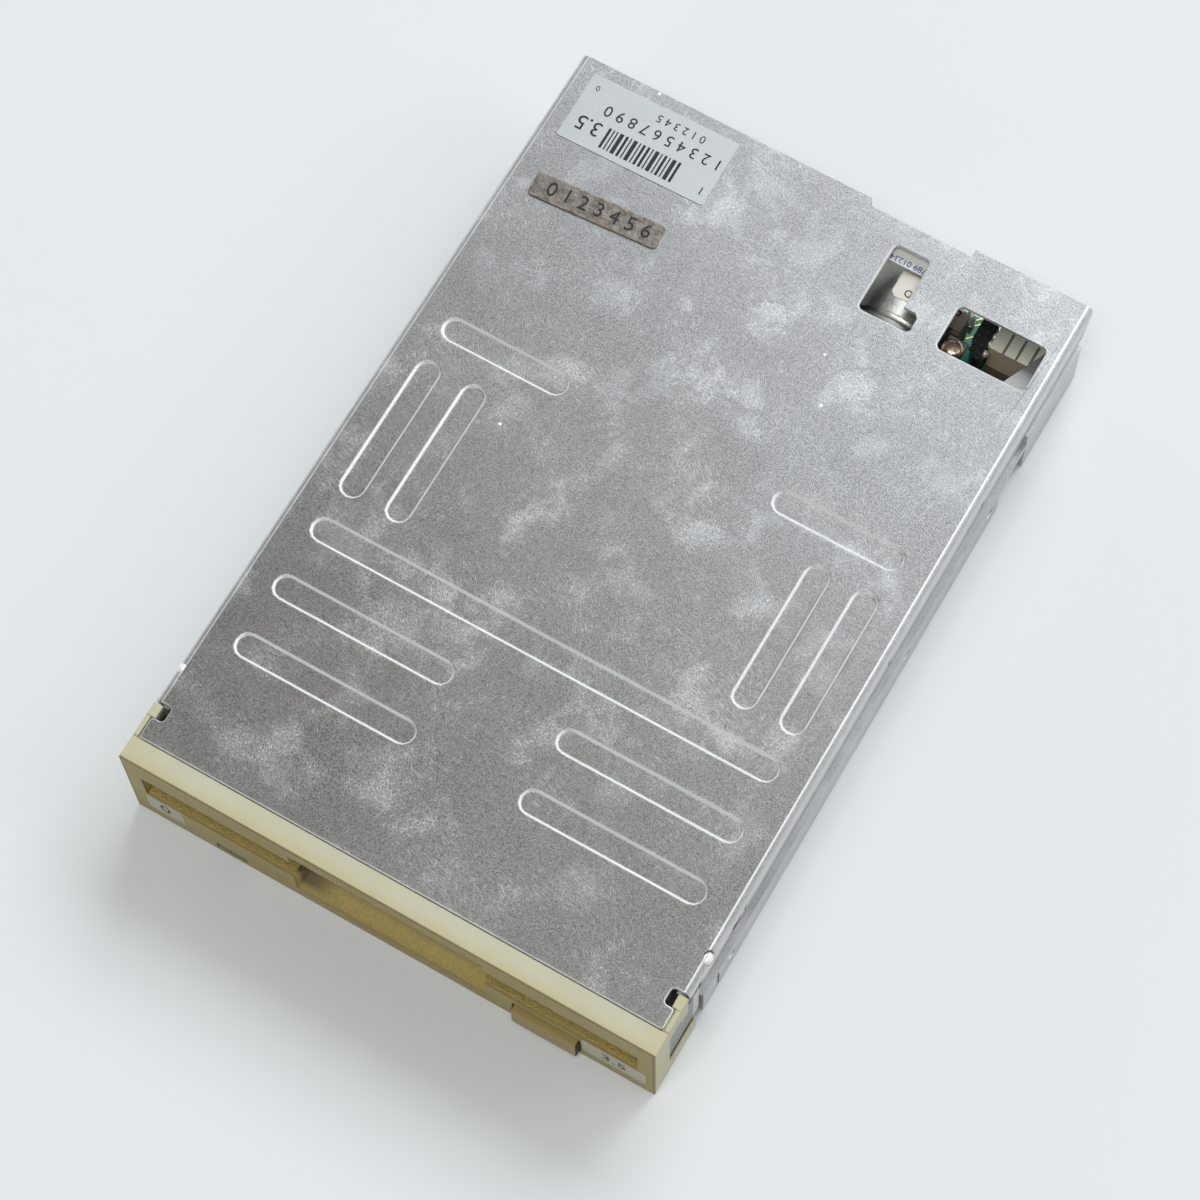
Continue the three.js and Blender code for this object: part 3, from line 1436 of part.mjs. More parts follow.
makeChassis();
makeTopCover();
makeBezel();
makeDoor();
makeLamp();
makeSlide();
makeButton();
makeEjectSprings();
makeCarrier();
makeCarrierPins();
makeShutterLever();
makeSpindle();
makeBearing();
makeStator();
makeBoards();
makeSignalConnector();
makePowerConnector();
makeJumperBlock();
makeStepper();
makeBracket();
makeScrewBearing();
makeCarriage();
makeArm();
makeRod();
makeTrackSensor();
makeRibbon();
makeSwitch('write_protect', 1);
makeSwitch('disk_in', -1);
makeLabels();

// The origin lies under the middle of the whole drive, button included
drive.position.y = -(driveDepth - buttonProud) / 2;

export default drive;
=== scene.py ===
import bpy
import json
import math
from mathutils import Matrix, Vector


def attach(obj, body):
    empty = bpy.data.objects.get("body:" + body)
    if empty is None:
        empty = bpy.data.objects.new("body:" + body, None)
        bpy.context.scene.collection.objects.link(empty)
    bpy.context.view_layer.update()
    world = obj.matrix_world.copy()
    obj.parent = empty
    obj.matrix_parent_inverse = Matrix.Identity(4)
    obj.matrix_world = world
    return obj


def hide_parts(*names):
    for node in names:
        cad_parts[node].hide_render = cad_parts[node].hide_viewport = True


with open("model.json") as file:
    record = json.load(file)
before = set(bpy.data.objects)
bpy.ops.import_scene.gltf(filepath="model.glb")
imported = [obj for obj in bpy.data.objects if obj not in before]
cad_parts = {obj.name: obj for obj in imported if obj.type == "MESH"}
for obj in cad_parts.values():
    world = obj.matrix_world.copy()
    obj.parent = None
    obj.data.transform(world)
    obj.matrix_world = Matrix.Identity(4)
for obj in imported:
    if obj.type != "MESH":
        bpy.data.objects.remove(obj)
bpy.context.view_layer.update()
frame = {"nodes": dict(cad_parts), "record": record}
nodes = frame["nodes"]
record = frame["record"]
bodyOf = {node: body for body, held in record["behaviour"]["bodies"].items() for node in held}
mm = 0.001
faceToMiddle = 75.275  # from the bezel's face back to the middle of the drive


def at(x, y, z):
    # a place in millimetres, with Y measured back from the bezel's face
    return Vector((x * mm, (y - faceToMiddle) * mm, z * mm))


print("stage: camera and light")

view = {
    "place": (0.12096138, -0.19597294, 0.57930323),
    "turn": (0.94903903, 0.17765262, 0.05584378, 0.25425567),
    "lens": 107.035,
    "sensor": 36.0,
}


def placeCamera():
    data = bpy.data.cameras.new("copyStand")
    data.lens = view["lens"]
    data.sensor_width = view["sensor"]
    data.clip_start = 0.02
    data.clip_end = 20
    camera = bpy.data.objects.new("copyStand", data)
    camera.location = view["place"]
    camera.rotation_mode = "QUATERNION"
    camera.rotation_quaternion = view["turn"]
    bpy.context.scene.collection.objects.link(camera)
    bpy.context.scene.camera = camera


light = {
    "horizon": (0.42, 0.44, 0.45),
    "zenith": (0.04, 0.04, 0.042),
    "paper": (0.755, 0.78, 0.795),
    "lamps": [
        # name, place, aim, size, watts, colour
        ("rearWindow", (0.1, 1.6, 1.7), (0, 0, 0), (1.7, 1.1), 33.0, (0.95, 0.98, 1.0)),
        ("sidePanel", (1.35, 0.65, 1.25), (0, 0, 0), (1.1, 1.0), 6.5, (0.97, 0.99, 1.0)),
        ("ceilingPanel", (0.1, -0.55, 1.85), (0, 0, 0), (0.8, 0.8), 14.5, (1.0, 0.985, 0.96)),
        ("leftCard", (-1.7, 0.5, 0.5), (0, 0, 0), (1.3, 0.6), 4.0, (1.0, 1.0, 1.0)),
        ("frontCard", (-0.35, -1.7, 0.55), (0, 0, 0), (1.3, 0.6), 2.7, (0.88, 0.99, 1.04)),
    ],
}


def lightRoom():
    # pale low down and darker overhead, like a white sweep under a plain ceiling
    world = bpy.data.worlds.new("paleRoom")
    world.use_nodes = True
    tree = world.node_tree
    parts = tree.nodes.new("ShaderNodeSeparateXYZ")
    tree.links.new(tree.nodes.new("ShaderNodeTexCoord").outputs["Generated"], parts.inputs[0])
    blend = tree.nodes.new("ShaderNodeMix")
    blend.data_type = "RGBA"
    blend.inputs[6].default_value = (*light["horizon"], 1)
    blend.inputs[7].default_value = (*light["zenith"], 1)
    tree.links.new(parts.outputs["Z"], blend.inputs["Factor"])
    tree.links.new(blend.outputs[2], tree.nodes["Background"].inputs["Color"])
    bpy.context.scene.world = world
    for name, place, aim, size, watts, colour in light["lamps"]:
        data = bpy.data.lights.new(name, "AREA")
        data.shape = "RECTANGLE"
        data.size, data.size_y = size
        data.energy = watts
        data.color = colour
        lamp = bpy.data.objects.new(name, data)
        lamp.location = place
        lamp.rotation_mode = "QUATERNION"
        lamp.rotation_quaternion = (Vector(aim) - Vector(place)).to_track_quat("-Z", "Y")
        bpy.context.scene.collection.objects.link(lamp)


placeCamera()
lightRoom()
bpy.context.scene.view_settings.view_transform = "Standard"

print("stage: shared effects")


class Wire:
    # an output socket that adds, multiplies and compares like a number, with a Math node for each step
    def __init__(self, tree, socket):
        self.tree = tree
        self.socket = socket

    def __add__(self, other):
        return mathNode("ADD", self, other)

    def __sub__(self, other):
        return mathNode("SUBTRACT", self, other)

    def __rsub__(self, other):
        return mathNode("SUBTRACT", other, self)

    def __mul__(self, other):
        return mathNode("MULTIPLY", self, other)

    def __truediv__(self, other):
        return mathNode("DIVIDE", self, other)

    def __abs__(self):
        return mathNode("ABSOLUTE", self)

    def __gt__(self, other):
        return mathNode("GREATER_THAN", self, other)

    def __lt__(self, other):
        return mathNode("LESS_THAN", self, other)


def feed(socket, value):
    if isinstance(value, Wire):
        value.tree.links.new(value.socket, socket)
    elif isinstance(value, tuple) and len(value) < len(socket.default_value):
        socket.default_value = (*value, 1)
    else:
        socket.default_value = value


def wired(kind, values, result=0, **settings):
    # a node with its values fed in, in the tree that the first wire among them comes from
    tree = next(value.tree for value in values.values() if isinstance(value, Wire))
    node = tree.nodes.new(kind)
    for key, value in settings.items():
        setattr(node, key, value)
    for key, value in values.items():
        feed(node.inputs[key], value)
    return Wire(tree, node.outputs[result])


def mathNode(operation, *values):
    return wired("ShaderNodeMath", dict(enumerate(values)), operation=operation)


def vectorNode(operation, *values, result="Vector"):
    return wired("ShaderNodeVectorMath", dict(enumerate(values)), result, operation=operation)


def most(first, *others):
    for other in others:
        first = mathNode("MAXIMUM", first, other)
    return first


def smoothStep(value, low, high):
    values = {"Value": value, "From Min": low, "From Max": high}
    return wired("ShaderNodeMapRange", values, "Result", interpolation_type="SMOOTHSTEP")


def fading(value, low, high):
    return 1.0 - smoothStep(value, low, high)


def noiseIn(place, scale, detail, roughness, distortion=0.0):
    values = dict(Vector=place, Scale=scale, Detail=detail, Roughness=roughness, Distortion=distortion)
    return wired("ShaderNodeTexNoise", values, "Fac")


def cellsIn(place, scale, **settings):
    # how far each point is from its cell's middle, and the cell's own random colour
    away = wired("ShaderNodeTexVoronoi", {"Vector": place, "Scale": scale}, "Distance", **settings)
    return away, Wire(place.tree, away.socket.node.outputs["Color"])


def combined(x, y, z):
    return wired("ShaderNodeCombineXYZ", {"X": x, "Y": y, "Z": z})


def apart(value, kind="ShaderNodeSeparateXYZ"):
    return [Wire(value.tree, socket) for socket in wired(kind, {0: value}).socket.node.outputs]


def objectPlace(tree):
    return Wire(tree, tree.nodes.new("ShaderNodeTexCoord").outputs["Object"])


def mixColour(share, under, over):
    return wired("ShaderNodeMix", {"Factor": share, 6: under, 7: over}, 2, data_type="RGBA")


def layered(base, layers):
    for share, colour in layers:
        base = mixColour(share, base, colour)
    return base


def newGroup(name, inputs, outputs):
    group = bpy.data.node_groups.new(name, "ShaderNodeTree")
    for label, start in inputs.items():
        kind = "NodeSocketVector" if isinstance(start, tuple) else "NodeSocketFloat"
        group.interface.new_socket(label, in_out="INPUT", socket_type=kind).default_value = start
    for label in outputs:
        group.interface.new_socket(label, in_out="OUTPUT", socket_type="NodeSocketFloat")
    given = {socket.name: Wire(group, socket) for socket in group.nodes.new("NodeGroupInput").outputs}
    return objectPlace(group), given, group.nodes.new("NodeGroupOutput").inputs


def makeSheetGrain():
    # fine speckle of rolled sheet, drawn out a little along Y
    place, given, out = newGroup("sheetGrain", {"Across": 5200.0, "Along": 2400.0}, ["Tone"])
    stretch = combined(given["Across"], given["Along"], given["Across"])
    fine = noiseIn(vectorNode("MULTIPLY", place, stretch), 1.0, 2.0, 0.7)
    coarse = noiseIn(place, 1500.0, 2.0, 0.6)
    feed(out["Tone"], smoothStep(fine * 0.85 + coarse * 0.15, 0.34, 0.66))


def makeCloudStain():
    # pale bloom on metal: broad patches with a crumbly edge
    inputs = {"Size": 45.0, "Low": 0.46, "High": 0.72, "Offset": (0.0, 0.0, 0.0)}
    place, given, out = newGroup("cloudStain", inputs, ["Mask"])
    moved = vectorNode("ADD", place, given["Offset"])
    broad = noiseIn(moved, given["Size"], 6.0, 0.62, 0.3)
    crumbs = noiseIn(moved, 2600.0, 2.0, 0.7) * 0.24 - 0.12
    feed(out["Mask"], smoothStep(broad + crumbs, given["Low"], given["High"]))


def makeHairScratches():
    # thin bright scratches in patches, in three directions
    place, given, out = newGroup("hairScratches", {"Length": 190.0, "Width": 5200.0, "Level": 0.74}, ["Mask"])
    stretch = combined(given["Width"], given["Length"], 0.0)
    layers = []
    for turn, shift in ((0.45, 0.0), (-0.7, 3.1), (1.9, 7.7)):
        values = {"Vector": place, "Rotation": (0, 0, turn), "Location": (shift, shift * 0.7, 0)}
        turned = wired("ShaderNodeMapping", values)
        streak = noiseIn(vectorNode("MULTIPLY", turned, stretch), 1.0, 1.0, 0.4)
        patch = noiseIn(turned, 70.0, 2.0, 0.5) * 1.1 + 0.45
        layers.append(smoothStep(streak * patch, given["Level"], given["Level"] + 0.06))
    feed(out["Mask"], most(*layers))


def makeMouldGrain():
    # the fine leather-like grain of a moulded face, and its slow shade
    place, given, out = newGroup("mouldGrain", {"Cell": 2600.0, "Shade": 60.0}, ["Height", "Tone"])
    cells = cellsIn(place, given["Cell"])[0]
    feed(out["Height"], cells * 0.6 + noiseIn(place, given["Cell"], 3.0, 0.6) * 0.4)
    feed(out["Tone"], noiseIn(place, given["Shade"], 5.0, 0.6))


def makeDustFlecks():
    # small pale flecks scattered over a surface
    place, given, out = newGroup("dustFlecks", {"Spread": 300.0, "Size": 0.05}, ["Mask"])
    away, hue = cellsIn(place, given["Spread"])
    feed(out["Mask"], (hue > 0.72) * (away < given["Size"]))


def makeTurnedLines():
    # the rings that a lathe leaves about an upright line
    place, given, out = newGroup("turnedLines", {"Centre": (0.0, 0.0, 0.0), "Pitch": 4200.0}, ["Tone"])
    flat = vectorNode("MULTIPLY", vectorNode("SUBTRACT", place, given["Centre"]), (1.0, 1.0, 0.0))
    radius = vectorNode("LENGTH", flat, result="Value")
    feed(out["Tone"], noiseIn(combined(radius * given["Pitch"], 0.0, 0.0), 1.0, 2.0, 0.5))


edgeWearAndHighlightBands = {
    # metres across the sheet, how far a face looks up, and how far it looks to the light
    "fold": (0.04978, 0.04995), "crease": (0.04948, 0.04958), "turned": (0.78, 0.992), "lit": (-0.16, 0.02),
}


def makeEdgeWearAndHighlight():
    # painted highlight on the top sheet's cut and folded edges and a bright line beside each fold, stronger
    # on faces turned to the lamps; partly rubbed wear
    place, given, out = newGroup("edgeWearAndHighlight", {"Above": 0.0244}, ["Mask"])
    normal = place.tree.nodes.new("ShaderNodeNewGeometry").outputs["Normal"]
    facingX, facingY, facingZ = apart(Wire(place.tree, normal))
    x, z = apart(place)[::2]
    fold = smoothStep(abs(x), *edgeWearAndHighlightBands["fold"]) * -0.85 + 1.0
    crease = smoothStep(abs(x), *edgeWearAndHighlightBands["crease"]) * fold
    rubbedAndLit = most(fading(facingZ, *edgeWearAndHighlightBands["turned"]) * fold, crease * 0.8)
    lit = smoothStep(facingX * 0.8 + facingY, *edgeWearAndHighlightBands["lit"]) * 0.32 + 0.68
    feed(out["Mask"], rubbedAndLit * lit * (z > given["Above"]) * (facingZ > -0.2))


def makeRoundSpot():
    # a soft round blotch at a place, with a broken edge
    place, given, out = newGroup("roundSpot", {"Centre": (0.0, 0.0, 0.0), "Radius": 0.006}, ["Mask"])
    away = vectorNode("DISTANCE", place, given["Centre"], result="Value")
    ragged = away * (noiseIn(place, 420.0, 4.0, 0.65) * 0.9 + 0.55) / given["Radius"]
    crumbs = smoothStep(noiseIn(place, 2600.0, 2.0, 0.6), 0.35, 0.6)
    feed(out["Mask"], fading(ragged, 0.45, 1.05) * crumbs)


agedBands = {
    # metres up, across, and back from the face
    "insideHigh": 0.0214, "insideAcross": 0.0505, "corner": (0.0001, 0.0004), "edge": (0.0002, 0.0026),
    "ends": (0.0435, 0.0506), "seam": (0.0042, 0.00445), "seamEnd": 0.0047, "ledge": (0.0243, 0.0248),
    "post": (0.0503, 0.0506), "hollow": (0.0018, 0.0042), "nookStart": -0.01865, "nook": (-0.0168, -0.0105),
    "nookBack": (0.0003, 0.0016), "faceBack": 0.00035, "faceHigh": (0.0243, 0.0249),
}


def makeAgedPlastic():
    # where the bezel has yellowed or gathered dirt, and where shade is painted into its slot, scoop and
    # seams, by how far back from its face a point is
    labels = ["Recess", "Edge", "Ends", "Seam", "HollowShade", "NookShadow"]
    place, given, out = newGroup("agedPlastic", {"Face": -faceToMiddle * mm}, labels)
    x, y, z = apart(place)
    blur = noiseIn(place, 160.0, 4.0, 0.6) * 0.0024 - 0.0012
    back = y - given["Face"]
    inside = (z < agedBands["insideHigh"]) * (abs(x) < agedBands["insideAcross"])
    corner = fading(back, *agedBands["corner"])
    near = smoothStep(back + blur * 0.1, *agedBands["seam"]) * (back < agedBands["seamEnd"])
    seam = most(corner, near * 0.5) * smoothStep(z, *agedBands["ledge"])
    post = corner * smoothStep(abs(x), *agedBands["post"]) * 0.8
    nook = (x > agedBands["nookStart"]) * fading(x, *agedBands["nook"])
    masks = [
        smoothStep(back, *agedBands["corner"]) * inside,
        fading(back + blur, *agedBands["edge"]),
        smoothStep(abs(x + blur), *agedBands["ends"]),
        # a dark line by the cover's edge and at the bezel's top corners: partly dirt, partly painted shade in
        # the gap
        most(seam, post),
        # painted shade, darker deeper inside the slot
        smoothStep(back, *agedBands["hollow"]) * inside,
        # painted shadow at the scoop's left end
        nook * smoothStep(back, *agedBands["nookBack"]) * inside,
    ]
    for label, mask in zip(labels, masks):
        feed(out[label], mask)


def makeBoardTraces():
    # runs of copper under the green lacquer, in patches that change direction
    place, given, out = newGroup("boardTraces", {"Pitch": 1050.0}, ["Mask"])
    hues = apart(cellsIn(place, 150.0, distance="CHEBYCHEV")[1], "ShaderNodeSeparateColor")
    first, second, third = (hue > level for hue, level in zip(hues, (0.4, 0.55, 0.5)))
    x, y = apart(place)[:2]
    along, across, slant = (mathNode("FRACT", run * given["Pitch"]) < 0.36 for run in (x, y, (x + y) * 0.707))
    feed(out["Mask"], most(along * first, across * (1.0 - first), slant * second) * third)


for makeEffect in (makeSheetGrain, makeCloudStain, makeHairScratches, makeMouldGrain, makeDustFlecks,
                   makeTurnedLines, makeEdgeWearAndHighlight, makeRoundSpot, makeAgedPlastic, makeBoardTraces):
    makeEffect()

print("stage: materials")


def effects(tree, name, **values):
    node = tree.nodes.new("ShaderNodeGroup")
    node.node_tree = bpy.data.node_groups[name]
    for key, value in values.items():
        node.inputs[key].default_value = value
    return {socket.name: Wire(tree, socket) for socket in node.outputs}


def effect(tree, name, **values):
    # for an effect with one output
    return next(iter(effects(tree, name, **values).values()))


def startMaterial(name, metallic, roughness):
    material = bpy.data.materials.new(name)
    material.use_nodes = True
    shader = material.node_tree.nodes["Principled BSDF"]
    shader.inputs["Metallic"].default_value = metallic
    shader.inputs["Roughness"].default_value = roughness
    return material.node_tree, shader


def paint(shader, colour, roughness=None):
    feed(shader.inputs["Base Color"], colour)
    if roughness:
        feed(shader.inputs["Roughness"], roughness)


def bumpInto(shader, height, strength, distance):
    values = {"Strength": strength, "Distance": distance, "Height": height}
    feed(shader.inputs["Normal"], wired("ShaderNodeBump", values, "Normal"))


def shaded(colour, share):
    return tuple(min(1.0, part * share) for part in colour)


def metal(name, colour, roughness, grain=0.12, stain=0.2, scratch=0.25, metallic=1.0, **cloud):
    tree, shader = startMaterial(name, metallic, roughness)
    speck = effect(tree, "sheetGrain")
    bloom = effect(tree, "cloudStain", **cloud)
    base = mixColour(speck, shaded(colour, 1 - grain), shaded(colour, 1 + grain))
    hairs = effect(tree, "hairScratches")
    layers = [(bloom * stain, shaded(colour, 1.45)), (hairs * scratch, (0.92, 0.92, 0.9))]
    paint(shader, layered(base, layers), speck * 0.1 + (bloom * 0.12 + (roughness - 0.05)))
    bumpInto(shader, speck, 0.15, 0.00005)


def plastic(name, colour, roughness, cell=2600.0, depth=0.25, shade=0.12, other=None, dusty=0.2):
    tree, shader = startMaterial(name, 0.0, roughness)
    grain = effects(tree, "mouldGrain", Cell=cell)
    base = mixColour(smoothStep(grain["Tone"], 0.3, 0.7), colour, other or shaded(colour, 1 - shade))
    paint(shader, mixColour(effect(tree, "dustFlecks") * dusty, base, (0.8, 0.79, 0.75)),
          grain["Tone"] * 0.12 + (roughness - 0.06))
    bumpInto(shader, grain["Height"], depth, 0.00012)


coverTop = 25.4
coverBlotches = [
    # across, back from the bezel's face, radius
    (-28.4, 16.2, 3.4), (-11.0, 18.3, 6.5), (-42.5, 13.5, 2.6), (-27.1, 10.7, 3.4), (25.5, 18.0, 5.0),
]
coverBands = {"rearSheen": (-0.07, 0.07), "side": (0.0501, 0.0506)}  # metres back and across


def coverZinc():
    # the cover's sheet: speckle, white bloom, pale blotches by the bezel, dust; painted reflection making it
    # paler and bluer towards the rear and lighter on its folded sides; painted highlight on its edges, partly
    # rubbed wear
    colour = (0.255, 0.246, 0.236)
    tree, shader = startMaterial("coverZinc", 1.0, 0.4)
    x, y = apart(objectPlace(tree))[:2]
    speck = effect(tree, "sheetGrain", Across=5600.0, Along=4200.0)
    broad = effect(tree, "cloudStain", Size=17.0, Low=0.36, High=0.68, Offset=(0.12, 0.4, 0.0))
    bloom = effect(tree, "cloudStain", Size=105.0, Low=0.5, High=0.64, Offset=(0.31, 0.2, 0.0))
    frost = effect(tree, "hairScratches", Length=1500.0, Width=6800.0, Level=0.62)
    hairs = effect(tree, "hairScratches", Length=420.0, Width=7200.0, Level=0.71)
    spots = most(*(effect(tree, "roundSpot", Centre=tuple(at(across, back, coverTop)), Radius=radius * mm)
                   for across, back, radius in coverBlotches))
    wearAndHighlight = effect(tree, "edgeWearAndHighlight")
    # painted reflection: how far towards the rear, where the rear lamp is reflected, the sheet is made paler
    rearSheen = smoothStep(x * 0.25 + y, *coverBands["rearSheen"])
    base = mixColour(speck, shaded(colour, 0.6), shaded(colour, 1.4))
    silver = mixColour(speck, (0.30, 0.315, 0.325), (0.56, 0.58, 0.60))
    layers = [
        # painted reflection: the silver comes in more towards the rear, and the white bloom grows there too
        (broad * 0.12 + rearSheen * 0.44, silver),
        (bloom * (rearSheen * 0.2 + 0.05), (0.64, 0.67, 0.69)),
        (frost * (bloom * 0.34 + 0.07), (0.84, 0.86, 0.87)),
        (spots * 0.22, (0.70, 0.69, 0.63)),
        (hairs * 0.24, (0.92, 0.92, 0.91)),
        (effect(tree, "dustFlecks", Spread=130.0, Size=0.045) * 0.8, (1.0, 1.0, 0.98)),
        # painted reflection: the sheet's folded sides are made lighter
        (smoothStep(abs(x), *coverBands["side"]) * 0.75, (0.72, 0.73, 0.735)),
        # painted highlight on the sheet's edges, partly rubbed wear
        (wearAndHighlight * 0.9, (0.98, 0.99, 0.99)),
    ]
    paint(shader, layered(base, layers), speck * 0.12 + (wearAndHighlight * -0.08 + (bloom * 0.1 + 0.33)))
    # less metallic on those edges, so the painted highlight shows from every side
    feed(shader.inputs["Metallic"], wearAndHighlight * -0.7 + 1.0)
    bumpInto(shader, speck, 0.25, 0.00006)


def agedCream():
    # cream plastic, yellowed in its recesses, along the ledge and at its ends; its face darker khaki, partly
    # its own tint and partly painted shade; painted shade deep in the slot and painted shadow at the scoop's
    # left end; a dark line along its edges, partly dirt and partly painted shade
    tree, shader = startMaterial("agedCream", 0.0, 0.52)
    grain = effects(tree, "mouldGrain", Cell=2500.0, Shade=90.0)
    aged = effects(tree, "agedPlastic")
    y, z = apart(objectPlace(tree))[1:]
    slow = smoothStep(grain["Tone"], 0.3, 0.7)
    pores = mixColour(smoothStep(grain["Height"], 0.2, 0.62), (0.57, 0.42, 0.105), (0.41, 0.295, 0.068))
    # the face's colour: partly its own khaki tint, partly painted shade, since it faces away from the lamps
    face = mixColour(slow, (0.335, 0.262, 0.098), (0.305, 0.237, 0.08))
    layers = [
        (most(aged["Edge"], aged["Ends"] * 0.5) * 0.55, (0.50, 0.425, 0.2)),
        (aged["Recess"] * 0.92, pores),
        # painted shadow at the scoop's left end
        (aged["NookShadow"] * 0.85, (0.09, 0.06, 0.025)),
        # painted shade deep in the slot
        (aged["HollowShade"] * 0.88, (0.09, 0.065, 0.025)),
        ((y < agedBands["faceBack"] - faceToMiddle * mm) * fading(z, *agedBands["faceHigh"]), face),
        # dark seam line, partly dirt and partly painted shade
        (aged["Seam"] * 0.95, (0.15, 0.11, 0.04)),
    ]
    base = mixColour(slow, (0.535, 0.52, 0.385), (0.515, 0.495, 0.35))
    paint(shader, layered(base, layers), grain["Tone"] * 0.12 + 0.46)
    bumpInto(shader, grain["Height"], aged["Recess"] * 0.75 + 0.2, 0.0003)


def turnedSteel():
    colour = (0.60, 0.60, 0.61)
    tree, shader = startMaterial("turnedSteel", 1.0, 0.3)
    rings = effect(tree, "turnedLines", Centre=tuple(at(0, 50, 0)))  # the spindle's axis
    base = mixColour(smoothStep(rings, 0.3, 0.7), shaded(colour, 0.86), shaded(colour, 1.1))
    stain = effect(tree, "cloudStain", Size=120.0)
    paint(shader, mixColour(stain * 0.15, base, (0.8, 0.8, 0.79)), rings * 0.14 + 0.23)
    bumpInto(shader, rings, 0.2, 0.00005)


def boardTop():
    colour = (0.012, 0.19, 0.115)
    tree, shader = startMaterial("boardTop", 0.0, 0.3)
    traces = effect(tree, "boardTraces")
    tone = effects(tree, "mouldGrain", Cell=3400.0)["Tone"]
    base = mixColour(smoothStep(tone, 0.3, 0.7), colour, shaded(colour, 0.8))
    paint(shader, mixColour(traces * 0.5, base, (0.03, 0.34, 0.2)), tone * 0.15 + 0.22)
    bumpInto(shader, traces, 0.35, 0.00004)


def labelFoil():
    # a silvery film label, near the cover's own tone but smoother
    tree, shader = startMaterial("labelFoil", 0.35, 0.5)
    stain = effect(tree, "cloudStain", Size=60.0, Offset=(0.4, 0.0, 0.0))
    base = mixColour(effect(tree, "sheetGrain"), (0.47, 0.495, 0.51), (0.53, 0.555, 0.57))
    paint(shader, mixColour(stain * 0.2, base, (0.62, 0.64, 0.65)), stain * 0.1 + 0.44)


def serialFoil():
    # brown-grey foil with a crushed surface
    tree, shader = startMaterial("serialFoil", 0.75, 0.42)
    grain = effects(tree, "mouldGrain", Cell=1500.0, Shade=700.0)
    speck = effect(tree, "sheetGrain")
    base = mixColour(smoothStep(grain["Tone"], 0.35, 0.65), (0.12, 0.10, 0.084), (0.25, 0.222, 0.195))
    paint(shader, mixColour(speck * 0.18, base, (0.5, 0.47, 0.43)), grain["Tone"] * 0.2 + 0.34)
    bumpInto(shader, grain["Height"], 0.6, 0.0001)


def copperWinding():
    # fine turns of enamelled wire
    tree, shader = startMaterial("copperWinding", 1.0, 0.34)
    x, y = apart(objectPlace(tree))[:2]
    wire = mathNode("PINGPONG", (x * 0.8 + y) * 4200.0, 0.5)
    base = mixColour(smoothStep(wire, 0.0, 0.5), (0.34, 0.12, 0.05), (0.72, 0.34, 0.17))
    paint(shader, mixColour(effect(tree, "sheetGrain") * 0.2, base, (0.8, 0.45, 0.25)))
    bumpInto(shader, wire, 0.5, 0.0001)


for makeFinish in (coverZinc, agedCream, turnedSteel, boardTop, labelFoil, serialFoil, copperWinding):
    makeFinish()

metals = {
    # colour, roughness, and what differs from plain rolled sheet
    "canZinc": ((0.66, 0.655, 0.62), 0.33, {"grain": 0.14, "stain": 0.12, "scratch": 0.4}),
    # near white and only partly metallic: a painted glint on the bosses
    "bossSteel": ((0.97, 0.97, 0.96), 0.3, {"grain": 0.03, "stain": 0.0, "scratch": 0.1, "metallic": 0.35}),
    "shadowSheet": ((0.29, 0.29, 0.282), 0.45, {"stain": 0.15, "Size": 60.0}),
    "chassisSteel": ((0.54, 0.545, 0.55), 0.4, {"stain": 0.25, "Size": 60.0}),
    "brownSheet": ((0.40, 0.36, 0.30), 0.4, {"grain": 0.1, "stain": 0.1}),
    "darkSheet": ((0.33, 0.33, 0.33), 0.42, {}),
    "brightSteel": ((0.62, 0.63, 0.64), 0.26, {"grain": 0.06, "stain": 0.1, "scratch": 0.15}),
    "brassMetal": ((0.70, 0.50, 0.22), 0.28, {"grain": 0.05, "stain": 0.1, "scratch": 0.1}),
    "goldPin": ((0.80, 0.62, 0.30), 0.22, {"grain": 0.04, "stain": 0.05, "scratch": 0.05}),
    "copperedSteel": ((0.90, 0.66, 0.50), 0.28, {"grain": 0.04, "stain": 0.05, "scratch": 0.05}),
    "solder": ((0.82, 0.84, 0.85), 0.3, {"grain": 0.08, "stain": 0.1, "scratch": 0.0, "metallic": 0.5}),
}
